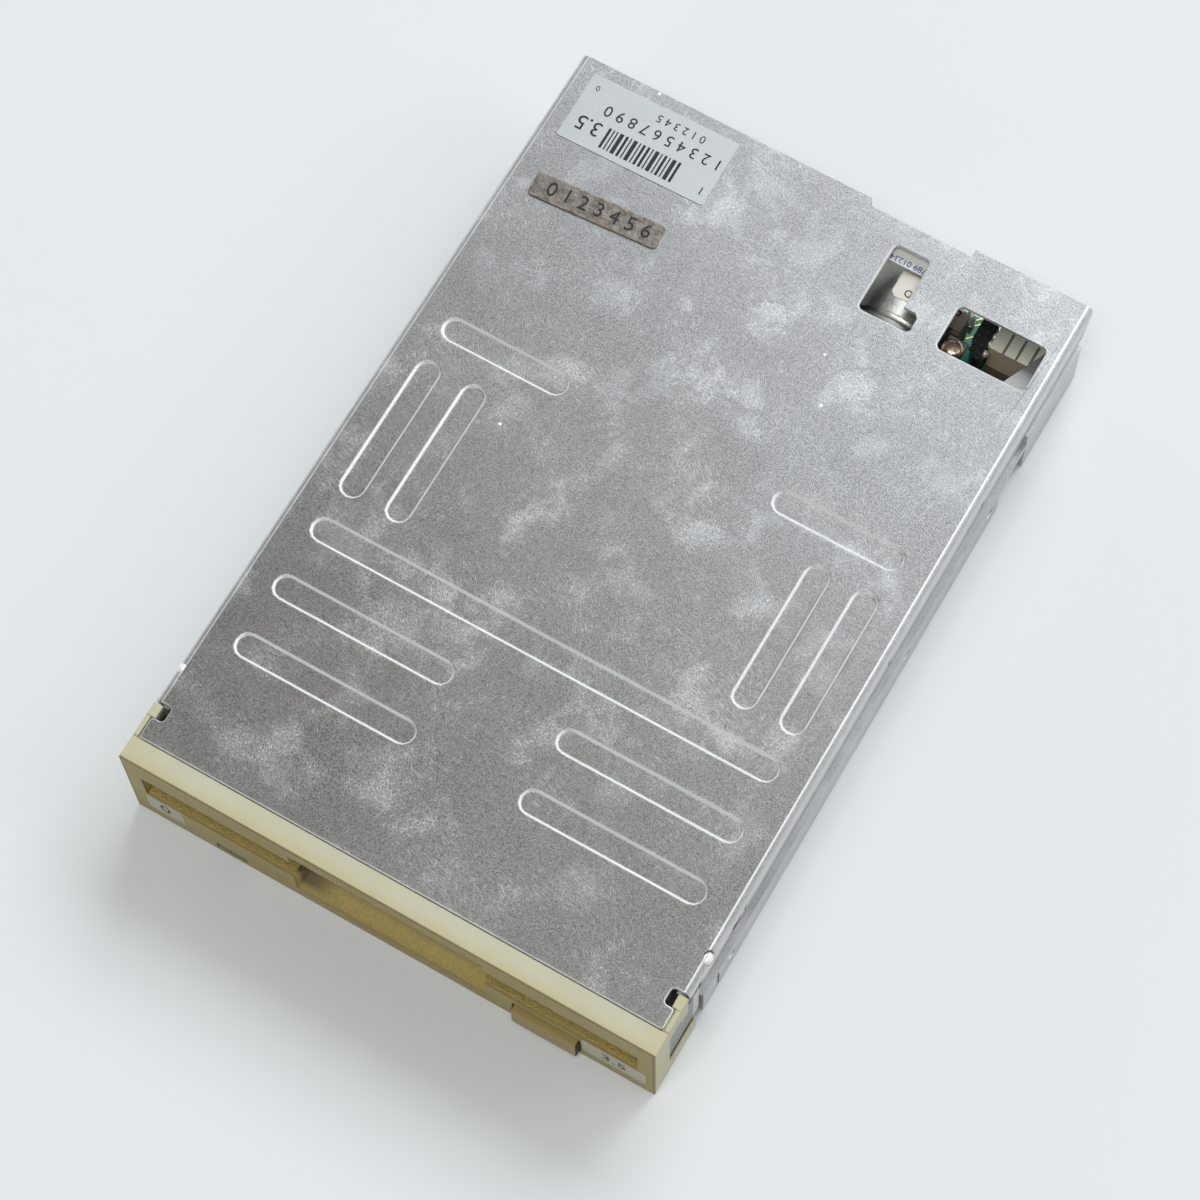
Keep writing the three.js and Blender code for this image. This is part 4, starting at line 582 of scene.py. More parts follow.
plastics = {
    # colour, roughness, and what differs from plain moulding
    "buttonPlastic": ((0.32, 0.235, 0.066), 0.45, {
        "cell": 2400.0, "depth": 0.15, "other": (0.30, 0.215, 0.058)}),
    # dark brown painted shade for gaps and low ledges
    "gapDirt": ((0.06, 0.042, 0.02), 0.7, {"depth": 0.1}),
    "lampLens": ((0.035, 0.042, 0.058), 0.25, {"depth": 0.02, "other": (0.05, 0.058, 0.07)}),
    "blackPlastic": ((0.016, 0.016, 0.018), 0.42, {"depth": 0.12, "other": (0.03, 0.03, 0.032)}),
    "chipPlastic": ((0.03, 0.03, 0.032), 0.5, {"cell": 5200.0, "depth": 0.2}),
    "carriagePlastic": ((0.03, 0.031, 0.034), 0.48, {"depth": 0.15}),
    "ivoryPlastic": ((0.95, 0.93, 0.81), 0.38, {"depth": 0.06, "other": (0.92, 0.88, 0.7)}),
    # a darker, warmer copy of the ivory: painted shade for faces turned to the front
    "ivoryShade": ((0.92, 0.80, 0.58), 0.42, {"depth": 0.06, "other": (0.84, 0.70, 0.47)}),
    "grooveShade": ((0.36, 0.36, 0.30), 0.5, {"depth": 0.05}),
    "magnetGrey": ((0.05, 0.05, 0.055), 0.6, {"cell": 4200.0}),
    "headCeramic": ((0.24, 0.21, 0.19), 0.2, {"depth": 0.02}),
    "ribbonFilm": ((0.90, 0.89, 0.85), 0.3, {"depth": 0.03, "shade": 0.05}),
    "stickerPaper": ((0.44, 0.42, 0.315), 0.5, {"depth": 0.05, "shade": 0.08}),
    "motorLabel": ((0.86, 0.82, 0.74), 0.5, {"depth": 0.04, "shade": 0.06}),
    "darkInk": ((0.01, 0.011, 0.013), 0.62, {"depth": 0.02, "dusty": 0.1}),
    "blueInk": ((0.03, 0.09, 0.42), 0.45, {"depth": 0.02, "dusty": 0.1}),
    "ceramicTan": ((0.42, 0.30, 0.18), 0.35, {"depth": 0.03}),
}
for make, looks in ((metal, metals), (plastic, plastics)):
    for name, (colour, roughness, more) in looks.items():
        make(name, colour, roughness, **more)

print("stage: modelling tools")


def mode(kind):
    bpy.ops.object.mode_set(mode=kind)


def dropSelection():
    if bpy.context.object and bpy.context.object.mode != "OBJECT":
        mode("OBJECT")
    bpy.ops.object.select_all(action="DESELECT")


def pick(*objs):
    dropSelection()
    for obj in objs:
        obj.select_set(True)
    bpy.context.view_layer.objects.active = objs[0]


def editing(obj, kind, action="DESELECT"):
    pick(obj)
    mode("EDIT")
    bpy.ops.mesh.select_mode(type=kind)
    bpy.ops.mesh.select_all(action=action)


def chooseAll(obj):
    editing(obj, "VERT", "SELECT")


def chooseFaces(obj, test):
    # goes into edit mode with the faces that pass selected; places come in millimetres
    editing(obj, "FACE")
    mode("OBJECT")
    for face in obj.data.polygons:
        face.select = bool(test(face.center / mm, face.normal))
    mode("EDIT")


def chooseEdges(obj, test):
    # the same for edges, by the places of their two ends
    editing(obj, "EDGE")
    mode("OBJECT")
    for edge in obj.data.edges:
        edge.select = bool(test(*(obj.data.vertices[index].co / mm for index in edge.vertices)))
    mode("EDIT")


def leaveEdit(obj):
    mode("OBJECT")
    return obj


def roundedEdges(obj, test, width, segments):
    chooseEdges(obj, test)
    bpy.ops.mesh.bevel(offset=width * mm, segments=segments)
    return leaveEdit(obj)


def movedEdges(obj, test, across, along):
    chooseEdges(obj, test)
    bpy.ops.transform.translate(value=(across * mm, along * mm, 0))
    return leaveEdit(obj)


def raised(obj, margin, shift, test=lambda place, normal: normal.z > 0.9):
    # insets the faces that pass, the top ones where nothing else is said, and moves what is inside
    chooseFaces(obj, test)
    bpy.ops.mesh.inset(thickness=margin * mm)
    bpy.ops.transform.translate(value=Vector(shift) * mm)
    return leaveEdit(obj)


def backOf(place):
    # how far a place in millimetres lies behind the bezel's face
    return place.y + faceToMiddle


def between(value, ends):
    return ends[0] < value < ends[1]


def upright(low, high):
    return abs(low.z - high.z) > 0.04


def named(obj, name):
    obj.name = obj.data.name = name
    return obj


def started(name, add, **values):
    # a new primitive with its place in its mesh, from which a piece is shaped
    dropSelection()
    add(**values)
    bpy.ops.object.transform_apply(location=True, rotation=True, scale=True)
    return named(bpy.context.object, name)


def boxAt(name, low, high):
    # a block between two corners in millimetres
    low, high = Vector(low) * mm, Vector(high) * mm
    return started(name, bpy.ops.mesh.primitive_cube_add, size=1, location=(low + high) / 2, scale=high - low)


def blockAt(name, low, high):
    # the same, with Y measured back from the bezel's face
    return boxAt(name, at(*low) / mm, at(*high) / mm)


def placed(obj, place, turn=(0, 0, 0)):
    # turns a piece about its own zero and carries it to its place
    pick(obj)
    obj.rotation_euler = [math.radians(part) for part in turn]
    obj.location = place
    bpy.ops.object.transform_apply(location=True, rotation=True, scale=True)
    return obj


def copied(obj, shift, turn=0.0):
    # another of the same, with its own mesh, moved by millimetres and turned about its own zero
    twin = obj.copy()
    twin.data = obj.data.copy()
    bpy.context.scene.collection.objects.link(twin)
    return placed(twin, Vector(shift) * mm, (0, 0, turn))


def joined(name, objs):
    pick(*objs)
    bpy.ops.object.join()
    return named(bpy.context.object, name)


def applied(obj, kind, **values):
    pick(obj)
    change = obj.modifiers.new(kind.lower(), kind)
    for key, value in values.items():
        setattr(change, key, value)
    bpy.ops.object.modifier_apply(modifier=change.name)
    return obj


def carved(obj, cutter):
    applied(obj, "BOOLEAN", operation="DIFFERENCE", solver="EXACT", object=cutter)
    bpy.data.objects.remove(cutter)


def bevelled(obj, width, segments=2, angle=30):
    return applied(obj, "BEVEL", width=width * mm, segments=segments, limit_method="ANGLE",
                   angle_limit=math.radians(angle))


def smoothed(obj, angle=35):
    pick(obj)
    bpy.ops.object.shade_smooth_by_angle(angle=math.radians(angle))
    return applied(obj, "WEIGHTED_NORMAL", keep_sharp=True, weight=80)


def drawnLine(name, points):
    # a run of edges through points in millimetres, drawn from a single corner
    obj = started(name, bpy.ops.mesh.primitive_plane_add, size=mm)
    chooseAll(obj)
    bpy.ops.mesh.merge(type="CENTER")
    bpy.ops.transform.translate(value=Vector(points[0]) * mm)
    for before, after in zip(points, points[1:]):
        step = (Vector(after) - Vector(before)) * mm
        bpy.ops.mesh.extrude_vertices_move(TRANSFORM_OT_translate={"value": step})
    return leaveEdit(obj)


def mergeDoubles():
    bpy.ops.mesh.remove_doubles(threshold=0.000004)


def wound(obj, turns, pitch, stepsPerTurn):
    # winds a profile about the upright line through zero, and closes its two ends
    applied(obj, "SCREW", axis="Z", angle=2 * math.pi, screw_offset=pitch * mm, iterations=turns,
            steps=stepsPerTurn, render_steps=stepsPerTurn, use_merge_vertices=False)
    chooseAll(obj)
    mergeDoubles()
    bpy.ops.mesh.fill_holes(sides=0)
    bpy.ops.mesh.select_all(action="SELECT")
    bpy.ops.mesh.normals_make_consistent(inside=False)
    return leaveEdit(obj)


def written(name, words, height, thick, place, turn):
    # raised or printed figures, made from the plain built-in letters
    dropSelection()
    bpy.ops.object.text_add()
    letters = bpy.context.object.data
    letters.body = words
    letters.size = height * mm / 0.7
    letters.align_x = letters.align_y = "CENTER"
    letters.resolution_u = 3
    letters.extrude = thick * mm / 2
    bpy.ops.object.convert(target="MESH")
    return placed(named(bpy.context.object, name), place, turn)


def mergedCopy(nodeName, name):
    # a copy of a CAD node with its loose triangles joined up into flat faces
    obj = bpy.data.objects.new(name, nodes[nodeName].data.copy())
    bpy.context.scene.collection.objects.link(obj)
    pick(obj)
    bpy.ops.mesh.customdata_custom_splitnormals_clear()
    chooseAll(obj)
    mergeDoubles()
    bpy.ops.mesh.dissolve_limited(angle_limit=math.radians(0.6))
    return leaveEdit(obj)


def settle(obj, nodeName, finish, replaces=True):
    # gives a piece its finish, and the body of the node it stands for or sits on
    obj.data.materials.clear()
    obj.data.materials.append(bpy.data.materials[finish])
    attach(obj, bodyOf[nodeName])
    if replaces:
        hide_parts(nodeName)
    return obj


def finishFaces(nodeName, finish, test):
    # a second finish on the faces that pass, of the piece that stands for a node
    data = made[nodeName].data
    data.materials.append(bpy.data.materials[finish])
    for face in data.polygons:
        if test(face.center / mm, face.normal):
            face.material_index = len(data.materials) - 1


print("stage: dressed CAD pieces")

dressed = {
    # CAD node: piece, finish, edge radius in mm
    "top_cover": ("coverSheet", "coverZinc", 0.2),
    "front_bezel": ("bezelMoulding", "agedCream", 0.22),
    "eject_button": ("ejectKey", "buttonPlastic", 0.3),
    "activity_lamp": ("lampWindow", "lampLens", 0.12),
    "dust_door": ("dustFlap", "blackPlastic", 0.12),
    "chassis": ("chassisTray", "chassisSteel", 0.1),
    "slide_plate": ("ejectSlide", "darkSheet", 0.1),
    "disk_carrier": ("diskCarrier", "chassisSteel", 0.08),
    "shutter_lever": ("shutterLever", "darkSheet", 0.08),
    "shutter_rivet": ("shutterRivet", "brightSteel", 0.15),
    "carrier_pin_front_left": ("carrierPinA", "brightSteel", 0.12),
    "carrier_pin_front_right": ("carrierPinB", "brightSteel", 0.12),
    "carrier_pin_rear_left": ("carrierPinC", "brightSteel", 0.12),
    "carrier_pin_rear_right": ("carrierPinD", "brightSteel", 0.12),
    "spindle_rotor": ("rotorCup", "turnedSteel", 0.2),
    "rotor_magnet": ("rotorMagnet", "magnetGrey", 0.1),
    "hub_plate": ("hubPlate", "turnedSteel", 0.15),
    "spindle_shaft": ("spindleShaft", "brightSteel", 0.15),
    "drive_pin": ("drivePin", "brightSteel", 0.12),
    "spindle_bearing": ("bearingHousing", "brassMetal", 0.12),
    "stator_core": ("statorCore", "darkSheet", 0.06),
    "stator_winding": ("statorWinding", "copperWinding", 0.3),
    "motor_board": ("motorBoard", "boardTop", 0.08),
    "main_board": ("mainBoard", "boardTop", 0.08),
    "controller_chip": ("controllerChip", "chipPlastic", 0.12),
    "driver_chip": ("driverChip", "chipPlastic", 0.12),
    "signal_connector": ("signalSocket", "blackPlastic", 0.08),
    "power_connector": ("powerSocket", "ivoryPlastic", 0.12),
    "jumper_block": ("jumperBlock", "blackPlastic", 0.1),
    "stepper_motor": ("motorCan", "canZinc", 0.2),
    "stepper_rotor": ("motorRotor", "magnetGrey", 0.2),
    "stepper_bracket": ("motorBracket", "darkSheet", 0.12),
    "bracket_screw": ("bracketScrew", "copperedSteel", 0.12),
    "screw_bearing": ("screwBearing", "blackPlastic", 0.15),
    "head_carriage": ("headCarriage", "carriagePlastic", 0.2),
    "lower_head": ("lowerHead", "headCeramic", 0.2),
    "upper_head": ("upperHead", "headCeramic", 0.2),
    "head_arm": ("headArm", "brightSteel", 0.1),
    "arm_spring": ("armSpring", "brightSteel", 0.1),
    "guide_rod": ("guideRod", "brightSteel", 0.2),
    "rod_clamp_front": ("rodClampA", "darkSheet", 0.12),
    "rod_clamp_rear": ("rodClampB", "darkSheet", 0.12),
    "rod_screw_front": ("rodScrewA", "brassMetal", 0.15),
    "rod_screw_rear": ("rodScrewB", "brassMetal", 0.15),
    "track_sensor": ("trackSensor", "blackPlastic", 0.15),
    "ribbon_cable": ("ribbonCable", "ribbonFilm", 0.06),
    "ribbon_socket": ("ribbonSocket", "ivoryPlastic", 0.12),
    "write_protect_switch": ("switchBodyA", "blackPlastic", 0.15),
    "disk_in_switch": ("switchBodyB", "blackPlastic", 0.15),
    "write_protect_plunger": ("plungerA", "ivoryPlastic", 0.2),
    "disk_in_plunger": ("plungerB", "ivoryPlastic", 0.2),
}
coverForm = {
    "beadLift": 0.3, "beadGrow": 0.34, "rim": 0.15, "windowRim": 0.4, "frontRim": 0.34, "notchCorner": 0.7,
    "floor": (24.4, 24.7), "sheetTop": 24.8, "skin": 25.3, "beadRows": (24.0, 97.0), "beadHalf": 47.0,
    "frontEdge": (25.35, 11.6), "notch": (47.6, (8.45, 11.45)),
    "windows": {
        "across": (15.2, 47.7), "back": (131.9, 147), "left": ((15.2, 16.5), (30.4, 31.7)), "front": 133.2,
    },
}
reliefTail = {"across": (49.5, 51.2), "back": (17.3, 19.0), "high": (24.0, 25.8), "corner": 0.5}


def makeCover(name):
    # the pressed sheet: shallower beads with soft rims, and round corners in the two notches
    cover = mergedCopy("top_cover", name)

    def onFloor(place, normal):
        return normal.z > 0.95 and between(place.z, coverForm["floor"])

    floors = []
    for face in cover.data.polygons:
        if onFloor(face.center / mm, face.normal):
            corners = [cover.data.vertices[index].co for index in face.vertices]
            low = Vector([min(corner[axis] for corner in corners) for axis in range(3)])
            high = Vector([max(corner[axis] for corner in corners) for axis in range(3)])
            floors.append(((low + high) / 2, high - low))
    grow = 2 * coverForm["beadGrow"] * mm
    for middle, size in floors:
        chooseFaces(cover, lambda place, normal, middle=middle: onFloor(place, normal) and (
            (place - middle / mm).length < 0.05))
        bpy.ops.transform.resize(value=(1 + grow / size.x, 1 + grow / size.y, 1), center_override=middle)
        leaveEdit(cover)
    chooseFaces(cover, onFloor)
    bpy.ops.transform.translate(value=(0, 0, coverForm["beadLift"] * mm))
    leaveEdit(cover)

    # the relief holes at the ends of the two folds
    inner, outer = reliefTail["across"]
    for across in ((-outer, -inner), (inner, outer)):
        cutter = blockAt("tailCutter", *zip(across, reliefTail["back"], reliefTail["high"]))
        front = reliefTail["back"][0] + 0.1
        roundedEdges(
            cutter, lambda low, high: upright(low, high) and backOf(low) < front, reliefTail["corner"], 4)
        carved(cover, cutter)

    def onBead(low, high):
        within = all(between(backOf(end), coverForm["beadRows"]) and abs(end.x) < coverForm["beadHalf"]
                     for end in (low, high))
        return within and abs(low.z - high.z) < 0.02 and low.z > coverForm["sheetTop"]

    def onWindow(low, high):
        # the front and left sides of the two windows, where the sheet is rolled over most
        span = coverForm["windows"]
        for end in (low, high):
            within = between(end.x, span["across"]) and between(backOf(end), span["back"])
            left = any(between(end.x, side) for side in span["left"])
            if end.z < coverForm["skin"] or not within or not (left or backOf(end) < span["front"]):
                return False
        return True

    def inNotch(low, high):
        side, backs = coverForm["notch"]
        return (abs(low.z - high.z) > 0.5 and abs(low.x - high.x) < 0.01 and abs(low.y - high.y) < 0.01
                and abs(abs(low.x) - side) < 0.1 and any(abs(backOf(low) - back) < 0.1 for back in backs))

    def onFront(low, high):
        above, before = coverForm["frontEdge"]
        return all(end.z > above and backOf(end) < before for end in (low, high))

    roundedEdges(cover, onBead, coverForm["rim"], 3)
    roundedEdges(cover, onWindow, coverForm["windowRim"], 3)
    roundedEdges(cover, inNotch, coverForm["notchCorner"], 4)
    return roundedEdges(cover, onFront, coverForm["frontRim"], 3)


motorForm = {"axis": (21.0, 13.2), "radius": 8.8, "front": 134.4, "shoulder": 1.3}


def makeMotorCan(name):
    # the drawn can, with the round shoulder that shows through the cover's window
    def onRim(low, high):
        return all(abs(backOf(end) - motorForm["front"]) <= 0.02 and abs(math.hypot(
            end.x - motorForm["axis"][0], end.z - motorForm["axis"][1]) - motorForm["radius"]) <= 0.05
            for end in (low, high))

    return roundedEdges(mergedCopy("stepper_motor", name), onRim, motorForm["shoulder"], 6)


powerGrooves = {"across": (39.3, 41.8, 44.3), "wide": 0.4, "back": (142.2, 152.5), "deep": 0.9, "top": 12.04}
powerStep = {"low": (36.0, 138.0, 4.9), "high": (48.0, 142.65, 13.0)}
powerShade = {"back": 143.2, "high": 4.8}


def makePowerSocket(name):
    # the ivory housing, with the grooves between its pin chambers
    socket = mergedCopy("power_connector", name)
    carved(socket, blockAt("stepCutter", powerStep["low"], powerStep["high"]))
    half, (front, rear) = powerGrooves["wide"] / 2, powerGrooves["back"]
    for x in powerGrooves["across"]:
        carved(socket, blockAt("grooveCutter", (x - half, front, powerGrooves["top"] - powerGrooves["deep"]),
                               (x + half, rear, powerGrooves["top"] + 1)))
    return socket


gusset = {
    "high": (18.9, 20.3), "inner": 42, "edge": 48.35,
    # a corner across and back from the face, and its move
    "moves": [((42.7, 136.4), (0.15, -2.4)), ((48.4, 136.4), (0, -2.4)), ((45.6, 143.8), (1.7, 0))],
}
trayFront, trayWall = 13.5, 49


def makeChassisTray(name):
    # the tray, with the corner plate under the window reaching further forward
    tray = mergedCopy("chassis", name)
    for place, normal in ((at(0, trayFront, 0), (0, 1, 0)), (at(gusset["edge"], 0, 0), (1, 0, 0))):
        chooseAll(tray)
        bpy.ops.mesh.bisect(plane_co=place, plane_no=normal)
        leaveEdit(tray)
    for (x, back), shift in gusset["moves"]:
        movedEdges(tray, lambda low, high, x=x, back=back: all(
            abs(end.x - x) < 0.15 and abs(backOf(end) - back) < 0.15 and between(end.z, gusset["high"])
            for end in (low, high)), *shift)
    return tray


ledge = {"back": 3.7, "above": 24.2, "move": 0.6}


def makeBezel(name):
    # the moulding, with its top ledge carried back to the cover's front edge
    def onLedge(low, high):
        return all(abs(backOf(end) - ledge["back"]) < 0.05 and end.z > ledge["above"] for end in (low, high))

    return movedEdges(mergedCopy("front_bezel", name), onLedge, 0, ledge["move"])


shaped = {
    "front_bezel": makeBezel, "chassis": makeChassisTray, "top_cover": makeCover,
    "stepper_motor": makeMotorCan, "power_connector": makePowerSocket,
}
made = {}
for nodeName, (name, finish, radius) in dressed.items():
    make = shaped.get(nodeName)
    piece = make(name) if make else mergedCopy(nodeName, name)
    made[nodeName] = settle(smoothed(bevelled(piece, radius)), nodeName, finish)

goldPins = {
    "signal_connector": {"across": (-42.5, 1.5), "high": (6.6, 10.4), "back": (143.9, 151.0)},
    "power_connector": {"across": (37.4, 46.2), "high": (6.0, 9.6), "back": (145.1, 151.0)},
}


def onPins(place, normal, pins):
    within = between(place.x, pins["across"]) and between(place.z, pins["high"])
    return within and between(backOf(place), pins["back"]) and (
        abs(normal.y) < 0.5 or backOf(place) > pins["back"][0] + 2)


finishFaces("chassis", "shadowSheet", lambda place, normal: (
    backOf(place) < trayFront and abs(place.x) > trayWall))
# the gusset under the window gets the darker sheet as painted shade
finishFaces("chassis", "darkSheet", lambda place, normal: (
    between(place.x, (gusset["inner"], gusset["edge"])) and between(place.z, gusset["high"])))
# painted shade on the low ledge under the connector's step
finishFaces("power_connector", "gapDirt", lambda place, normal: (
    place.z < powerStep["low"][2] + 0.05 and backOf(place) < powerStep["high"][1] + 0.05))
for nodeName, pins in goldPins.items():
    finishFaces(nodeName, "goldPin", lambda place, normal, pins=pins: onPins(place, normal, pins))
# the housing's front faces get the painted shaded ivory
finishFaces("power_connector", "ivoryShade", lambda place, normal: (
    normal.y < -0.6 and backOf(place) < powerShade["back"] and place.z > powerShade["high"]))
finishFaces("power_connector", "grooveShade", lambda place, normal: (
    powerGrooves["top"] - powerGrooves["deep"] - 0.2 < place.z < powerGrooves["top"] - 0.2
    and backOf(place) > powerGrooves["back"][0] - 0.1
    and any(abs(place.x - x) < powerGrooves["wide"] for x in powerGrooves["across"])))
# painted shade on the button's ends, in the gaps beside it
finishFaces("eject_button", "gapDirt", lambda place, normal: abs(normal.x) > 0.6)

print("stage: labels")

plateRise = 0.02  # how far a plate's face stands above its rim
coverLabel = {"middle": (-32.3, 142.45), "size": (29.3, 13.8), "turn": 0.6, "thick": 0.12, "corner": 0.45}
serialTag = {"middle": (-33.0, 125.85), "size": (25.0, 4.8), "turn": 3.4, "thick": 0.3, "corner": 0.75}


def makePlate(name, size, thick, corner, segments, margin):
    # a flat plate about zero with round corners and a slightly raised face
    wide, long = size[0] / 2, size[1] / 2
    plate = boxAt(name, (-wide, -long, 0), (wide, long, thick))
    roundedEdges(plate, upright, corner, segments)
    return raised(plate, margin, (0, 0, plateRise))


def makeTag(name, spec):
    tag = makePlate(name, spec["size"], spec["thick"], spec["corner"], 5, 0.1)
    return smoothed(placed(tag, at(*spec["middle"], coverTop), (0, 0, spec["turn"])))


def onTag(spec, across, along, up):
    # a place on a tag, measured from its middle in its own directions
    turn = math.radians(spec["turn"])
    x = spec["middle"][0] + across * math.cos(turn) - along * math.sin(turn)
    y = spec["middle"][1] + across * math.sin(turn) + along * math.cos(turn)
    return at(x, y, coverTop + up)


settle(makeTag("coverLabel", coverLabel), "paper_label", "labelFoil")
settle(makeTag("serialTag", serialTag), "serial_plate", "serialFoil")

labelRows = [
    # figures, height, place across and along the label
    ("0 1 2 3 4 5", 1.55, 4.2, 4.6),
    ("1 2 3 4 5 6 7 8 9 0", 2.2, 2.3, 1.5),
    ("3.5", 2.9, -10.4, -2.6),
    ("0", 1.1, -12.6, 4.6),
    ("1", 1.6, 13.1, -4.4),
]
labelBars = {
    "start": -6.9, "along": -3.5, "high": 4.3, "gap": 0.42,
    "widths": (0.5, 0.25, 0.25, 0.75, 0.5, 0.25, 0.75, 0.25, 0.5,
               0.5, 0.25, 0.75, 0.25, 0.5, 0.25, 0.75, 0.5),
}
inkThick = 0.03


def makeLabelPrint():
    turn = coverLabel["turn"]
    top = coverLabel["thick"] + plateRise + inkThick / 2
    marks = []
    for words, height, across, along in labelRows:
        place = onTag(coverLabel, across, along, top)
        marks.append(written("labelRow", words, height, inkThick, place, (0, 0, turn + 180)))
    across = labelBars["start"]
    half = labelBars["high"] / 2
    for width in labelBars["widths"]:
        bar = boxAt("labelBar", (-width / 2, -half, -inkThick / 2), (width / 2, half, inkThick / 2))
        place = onTag(coverLabel, across + width / 2, labelBars["along"], top)
        marks.append(placed(bevelled(bar, 0.01, 1), place, (0, 0, turn)))
        across += width + labelBars["gap"]
    return joined("labelPrint", marks)


settle(makeLabelPrint(), "paper_label", "darkInk", replaces=False)
serialWords = {"figures": "0 1 2 3 4 5 6", "height": 2.75, "thick": 0.16, "across": 0.4}
serialPlace = onTag(serialTag, serialWords["across"], 0, serialTag["thick"])
serialFigures = written("serialFigures", serialWords["figures"], serialWords["height"], serialWords["thick"],
                        serialPlace, (0, 0, serialTag["turn"]))
settle(serialFigures, "serial_plate", "darkInk", replaces=False)

stickers = {
    # node: piece, low and high end across, figures, their height
    "bezel_sticker_left": ("bezelStickerA", -47.9, -40.7, "0", 3.2),
    "bezel_sticker_right": ("bezelStickerB", 37.0, 49.2, "3.5", 2.9),
}
sticker = {"middle": 6.9, "tall": 6.0, "thick": 0.1, "corner": 0.5, "margin": 0.08, "ink": -0.13}

for nodeName, (name, low, high, words, height) in stickers.items():
    x, z = (low + high) / 2, sticker["middle"]
    size = (high - low, sticker["tall"])
    tag = makePlate(name, size, sticker["thick"], sticker["corner"], 4, sticker["margin"])
    settle(smoothed(placed(tag, at(x, 0, z), (90, 0, 0))), nodeName, "stickerPaper")
    figures = written(name + "Figures", words, height, inkThick, at(x, sticker["ink"], z), (90, 0, 0))
    settle(figures, nodeName, "darkInk", replaces=False)

lampNose = {
    "low": (-34.55, 0.3, 0.75), "high": (-28.85, 2.0, 3.4), "margin": 0.25, "proud": 0.1, "edge": 0.08,
}


def makeLampNose():
    # the clear front of the lamp, which fills its window
    nose = blockAt("lampNose", lampNose["low"], lampNose["high"])
    raised(nose, lampNose["margin"], (0, -lampNose["proud"], 0), lambda place, normal: normal.y < -0.9)
    return smoothed(bevelled(nose, lampNose["edge"]))


settle(makeLampNose(), "activity_lamp", "lampLens", replaces=False)

print("stage: motor, ribbon and connectors")

ribbonPrint = {"place": (19.4, 144.75, 23.03), "height": 1.15, "figures": "0123456789 0123456789"}
ribbonFigures = written("ribbonPrint", ribbonPrint["figures"], ribbonPrint["height"], inkThick,
                        at(*ribbonPrint["place"]), (0, 0, 180))
settle(ribbonFigures, "ribbon_cable", "blueInk", replaces=False)

motorSticker = {
    "axis": (21.0, 13.2), "radius": 8.82, "across": (18.3, 24.0), "back": (138.6, 143.7), "thick": 0.07,
    "corner": 0.45, "ring": (21.2, 140.1), "ringSize": (0.62, 0.12), "ringUp": 0.05,
}


def ringAt(name, place, radius, wire, segments):
    return started(name, bpy.ops.mesh.primitive_torus_add, major_radius=radius * mm, minor_radius=wire * mm,
                   major_segments=segments, minor_segments=6, location=place)


def barAt(name, x, z, front, rear, radius, vertices, **more):
    # a round bar along Y
    return started(name, bpy.ops.mesh.primitive_cylinder_add, vertices=vertices, radius=radius * mm,
                   depth=(rear - front) * mm, location=at(x, (front + rear) / 2, z),
                   rotation=(math.pi / 2, 0, 0), **more)


def makeMotorSticker():
    # a piece of a thin tube round the can, cut to the sticker's outline
    (x, z), (left, right), (front, rear) = motorSticker["axis"], motorSticker["across"], motorSticker["back"]
    tag = barAt("motorSticker", x, z, front, rear, motorSticker["radius"], 120, end_fill_type="NOTHING")
    corner = motorSticker["corner"]
    cuts = [(at(left, 0, 0), (-1, 0, 0)), (at(right, 0, 0), (1, 0, 0)), (at(0, 0, z), (0, 0, -1)),
            (at(left + corner, front + corner, 0), (-1, -1, 0))]
    for place, normal in cuts:
        chooseAll(tag)
        bpy.ops.mesh.bisect(plane_co=place, plane_no=normal, clear_outer=True)
        leaveEdit(tag)
    return smoothed(applied(tag, "SOLIDIFY", thickness=motorSticker["thick"] * mm, offset=1))


def makeMotorRing():
    # the small ring printed on the sticker
    x, z = motorSticker["axis"]
    across, back = motorSticker["ring"]
    rise = math.sqrt(motorSticker["radius"] ** 2 - (across - x) ** 2)
    place = at(across, back, z + rise + motorSticker["ringUp"])
    ring = ringAt("motorStickerRing", place, *motorSticker["ringSize"], 28)
    chooseFaces(ring, lambda place, normal: normal.z < -0.2)
    bpy.ops.mesh.delete(type="FACE")
    leaveEdit(ring)
    chooseAll(ring)
    bpy.ops.mesh.fill_holes(sides=0)
    return smoothed(leaveEdit(ring))


settle(makeMotorSticker(), "stepper_motor", "motorLabel", replaces=False)
settle(makeMotorRing(), "stepper_motor", "darkInk", replaces=False)

terminal = {
    "low": (27.6, 139.8, 9.0), "high": (31.7, 143.7, 18.2), "margin": 0.25, "dent": 0.12, "edge": 0.175,
    "ring": (29.7, 143.0), "ringSize": (0.5, 0.14), "ringDown": 0.1, "ringDeep": 0.1,
}


def makeTerminalCover():
    # the brown sheet over the motor's terminals
    part = blockAt("terminalCover", terminal["low"], terminal["high"])
    raised(part, terminal["margin"], (0, 0, -terminal["dent"]))
    return smoothed(bevelled(part, terminal["edge"]))


def makeTerminalRing():
    # the ring punched in it
    high = terminal["high"][2] - terminal["ringDown"]
    ring = ringAt("terminalRing", at(*terminal["ring"], high), *terminal["ringSize"], 24)
    chooseFaces(ring, lambda place, normal: place.z < high - 0.06)
    bpy.ops.mesh.extrude_region_move(TRANSFORM_OT_translate={"value": (0, 0, -terminal["ringDeep"] * mm)})
    return smoothed(leaveEdit(ring))


settle(makeTerminalCover(), "stepper_bracket", "brownSheet", replaces=False)
settle(makeTerminalRing(), "stepper_bracket", "darkInk", replaces=False)

